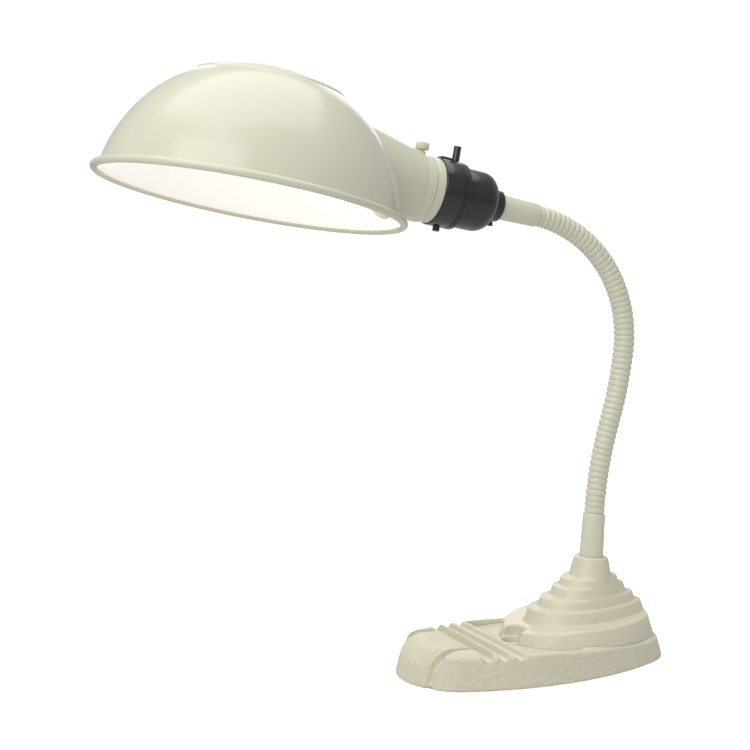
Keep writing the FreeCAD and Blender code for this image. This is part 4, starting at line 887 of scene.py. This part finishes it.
def ease_rim(mesh, outline):
    """Rounds the edge between the deck and the sloping side, more at the front than behind."""
    places = numpy.empty(len(mesh.vertices) * 3)
    mesh.vertices.foreach_get("co", places)
    places = places.reshape(-1, 3)
    nearest = numpy.zeros((len(places), 2))
    inside = numpy.full(len(places), 9.0)
    for start, end in zip(outline, numpy.roll(outline, -1, axis=0)):
        along = end - start
        share = numpy.clip((places[:, :2] - start) @ along / (along @ along), 0.0, 1.0)
        foot = start + share[:, None] * along
        gap = numpy.linalg.norm(places[:, :2] - foot, axis=1)
        closer = gap < inside
        inside[closer] = gap[closer]
        nearest[closer] = foot[closer]
    side = inside - places[:, 2] * math.tan(FOOT_DRAFT)
    below = DECK_BACK + (DECK_FRONT - DECK_BACK) * -places[:, 0] / DECK_RUN - places[:, 2]
    radius = 0.0018 + 0.0040 * smooth_step(-places[:, 0], 0.060, 0.125)
    reach = numpy.hypot(radius - side, radius - below)
    edge = (side < radius) & (below < radius) & (reach > radius) & (below > -0.0006)
    share = (radius / numpy.maximum(reach, 1e-9))[edge]
    inward = (radius - side)[edge] * (1 - share)
    direction = (places[:, :2] - nearest)[edge]
    direction /= numpy.maximum(numpy.linalg.norm(direction, axis=1), 1e-9)[:, None]
    places[edge, :2] += direction * inward[:, None]
    places[edge, 2] -= (radius - below)[edge] * (1 - share)
    mesh.vertices.foreach_set("co", places.ravel())
    mesh.update()


def foot_of(mesh):
    """Outline of the casting on the table, as a ring of points."""
    flat = [v.co.xy for v in mesh.vertices if v.co.z < 0.0006]
    return numpy.array([flat[i] for i in geometry.convex_hull_2d(flat)])


FOOT_DRAFT = math.radians(15.0)
DECK_FRONT, DECK_BACK, DECK_RUN = 0.0245, 0.0176, 0.1085


def make_casting():
    casting = merged_copy("base_casting", "casting")
    outline = foot_of(casting.data)
    fillers = [solid_oval("fill_low", 148.0, 49.0, 47.0, 0.8, 13.4),
               solid_oval("fill_nose", 149.6, -67.4, 41.1, 0.4, 3.9),
               solid_oval("fill_mid", 58.0, 35.0, 31.0, 10.5, 26.0),
               solid_oval("fill_high", 44.0, 35.5, 19.0, 20.0, 34.5),
               solid_oval("fill_top", 15.0, 13.0, 13.5, 30.0, 48.0)]
    join(casting, *fillers)
    melt = casting.modifiers.new("melt", "REMESH")
    melt.mode = "VOXEL"
    melt.voxel_size = 0.86 * MM
    soften = casting.modifiers.new("soften", "SMOOTH")
    soften.factor = 0.5
    soften.iterations = 5
    casting = to_plain_mesh(casting, "casting")
    ease_rim(casting.data, outline)
    casting.data.materials.clear()
    casting.data.materials.append(cast_enamel)
    casting.data.shade_smooth()
    return casting


casting = make_casting()
stand_for(casting, "base", "cast_enamel", "base_casting")

# %% [markdown]
# The remaining solids are right as they are, and need only their finishes. A slot of the
# record names each one, so the same table also tells which finish goes where.

# %% Finishes for the carried-over solids
finish_of_slot = {"cast_enamel": cast_enamel, "enamel": enamel, "bakelite": bakelite,
                  "black_screw": dark_steel, "zinc": zinc, "felt": felt, "bushing": nylon,
                  "ceramic": ceramic, "brass": brass, "cap_metal": cap_metal,
                  "insulator": black_glass, "glass": lamp_glass}
slot_of_node = {part["node"]: part["material_slot"] for part in frame["record"]["subparts"]}
for node, thing in frame["nodes"].items():
    for holder in thing.material_slots:
        holder.material = finish_of_slot[slot_of_node[node]]
print("finished nodes", len(slot_of_node))

# %% [markdown]
# The bulb's glass is a smooth lathe shape again, because it glows and any facet would show.

# %% Bulb glass
glass_ball = arc((0, -61.5), 27.5, -90, 28.7, 40)
glass_side = [(0, -89.0)] + glass_ball[1:] + [(13.0, -28.6), (12.65, -26.0), (12.6, -18.0), (0, -18.0)]
glass = turned("bulb_globe", glass_side, socket_place, lamp_glass, closed=False, sides=128)
stand_for(glass, "head", "glass", "bulb_glass")

# %% [markdown]
# The set is a pale floor with soft light: a wide panel over the front left as the key, an
# equally strong and larger one overhead, and a strip behind that draws the bright line on the
# dome's cap. The world is white to the camera, so the background is clean.

# %% Floor, world and lights
def make_floor():
    mesh = bpy.data.meshes.new("floor")
    reach = 6.0
    mesh.from_pydata([(-reach, -reach, 0), (reach, -reach, 0), (reach, reach, 0), (-reach, reach, 0)],
                     [], [(0, 1, 2, 3)])
    floor = bpy.data.objects.new("floor", mesh)
    scene.collection.objects.link(floor)
    material, tree, shader = new_finish("floor", (0.60, 0.60, 0.60), 0.9, Emission_Strength=1.0)
    path = add_node(tree, "ShaderNodeLightPath")
    seen = add_node(tree, "ShaderNodeMix", data_type="RGBA")
    seen.inputs[6].default_value = (0.0, 0.0, 0.0, 1)
    seen.inputs[7].default_value = (0.80, 0.80, 0.80, 1)
    tree.links.new(path.outputs["Is Camera Ray"], seen.inputs[0])
    tree.links.new(seen.outputs[2], shader.inputs["Emission Color"])
    mesh.materials.append(material)


def make_world():
    world = bpy.data.worlds.new("studio")
    world.use_nodes = True
    scene.world = world
    tree = world.node_tree
    sky = tree.nodes["Background"]
    path = add_node(tree, "ShaderNodeLightPath")
    seen = add_node(tree, "ShaderNodeMath", operation="MAXIMUM")
    tree.links.new(path.outputs["Is Camera Ray"], seen.inputs[0])
    tree.links.new(path.outputs["Is Transmission Ray"], seen.inputs[1])
    level = add_node(tree, "ShaderNodeMapRange")
    level.inputs["To Min"].default_value = 0.42
    level.inputs["To Max"].default_value = 1.05
    tree.links.new(seen.outputs[0], level.inputs["Value"])
    tree.links.new(level.outputs[0], sky.inputs["Strength"])
    sky.inputs["Color"].default_value = (1, 1, 1, 1)


def add_panel(name, place, target, size, power, color=(1, 1, 1)):
    data = bpy.data.lights.new(name, "AREA")
    data.shape = "RECTANGLE"
    data.size, data.size_y = size
    data.energy = power
    data.color = color
    lamp = bpy.data.objects.new(name, data)
    lamp.location = place
    lamp.rotation_euler = (Vector(target) - Vector(place)).to_track_quat("-Z", "Y").to_euler()
    scene.collection.objects.link(lamp)


make_floor()
make_world()
add_panel("key", (-1.5, -1.0, 1.25), (-0.15, 0, 0.25), (1.7, 1.5), 17.0)
add_panel("top", (-0.15, 0.1, 1.9), (-0.15, 0, 0.25), (2.2, 1.8), 17.0)
add_panel("back", (0.4, 1.3, 0.9), (-0.2, 0, 0.3), (0.9, 0.9), 3.0)
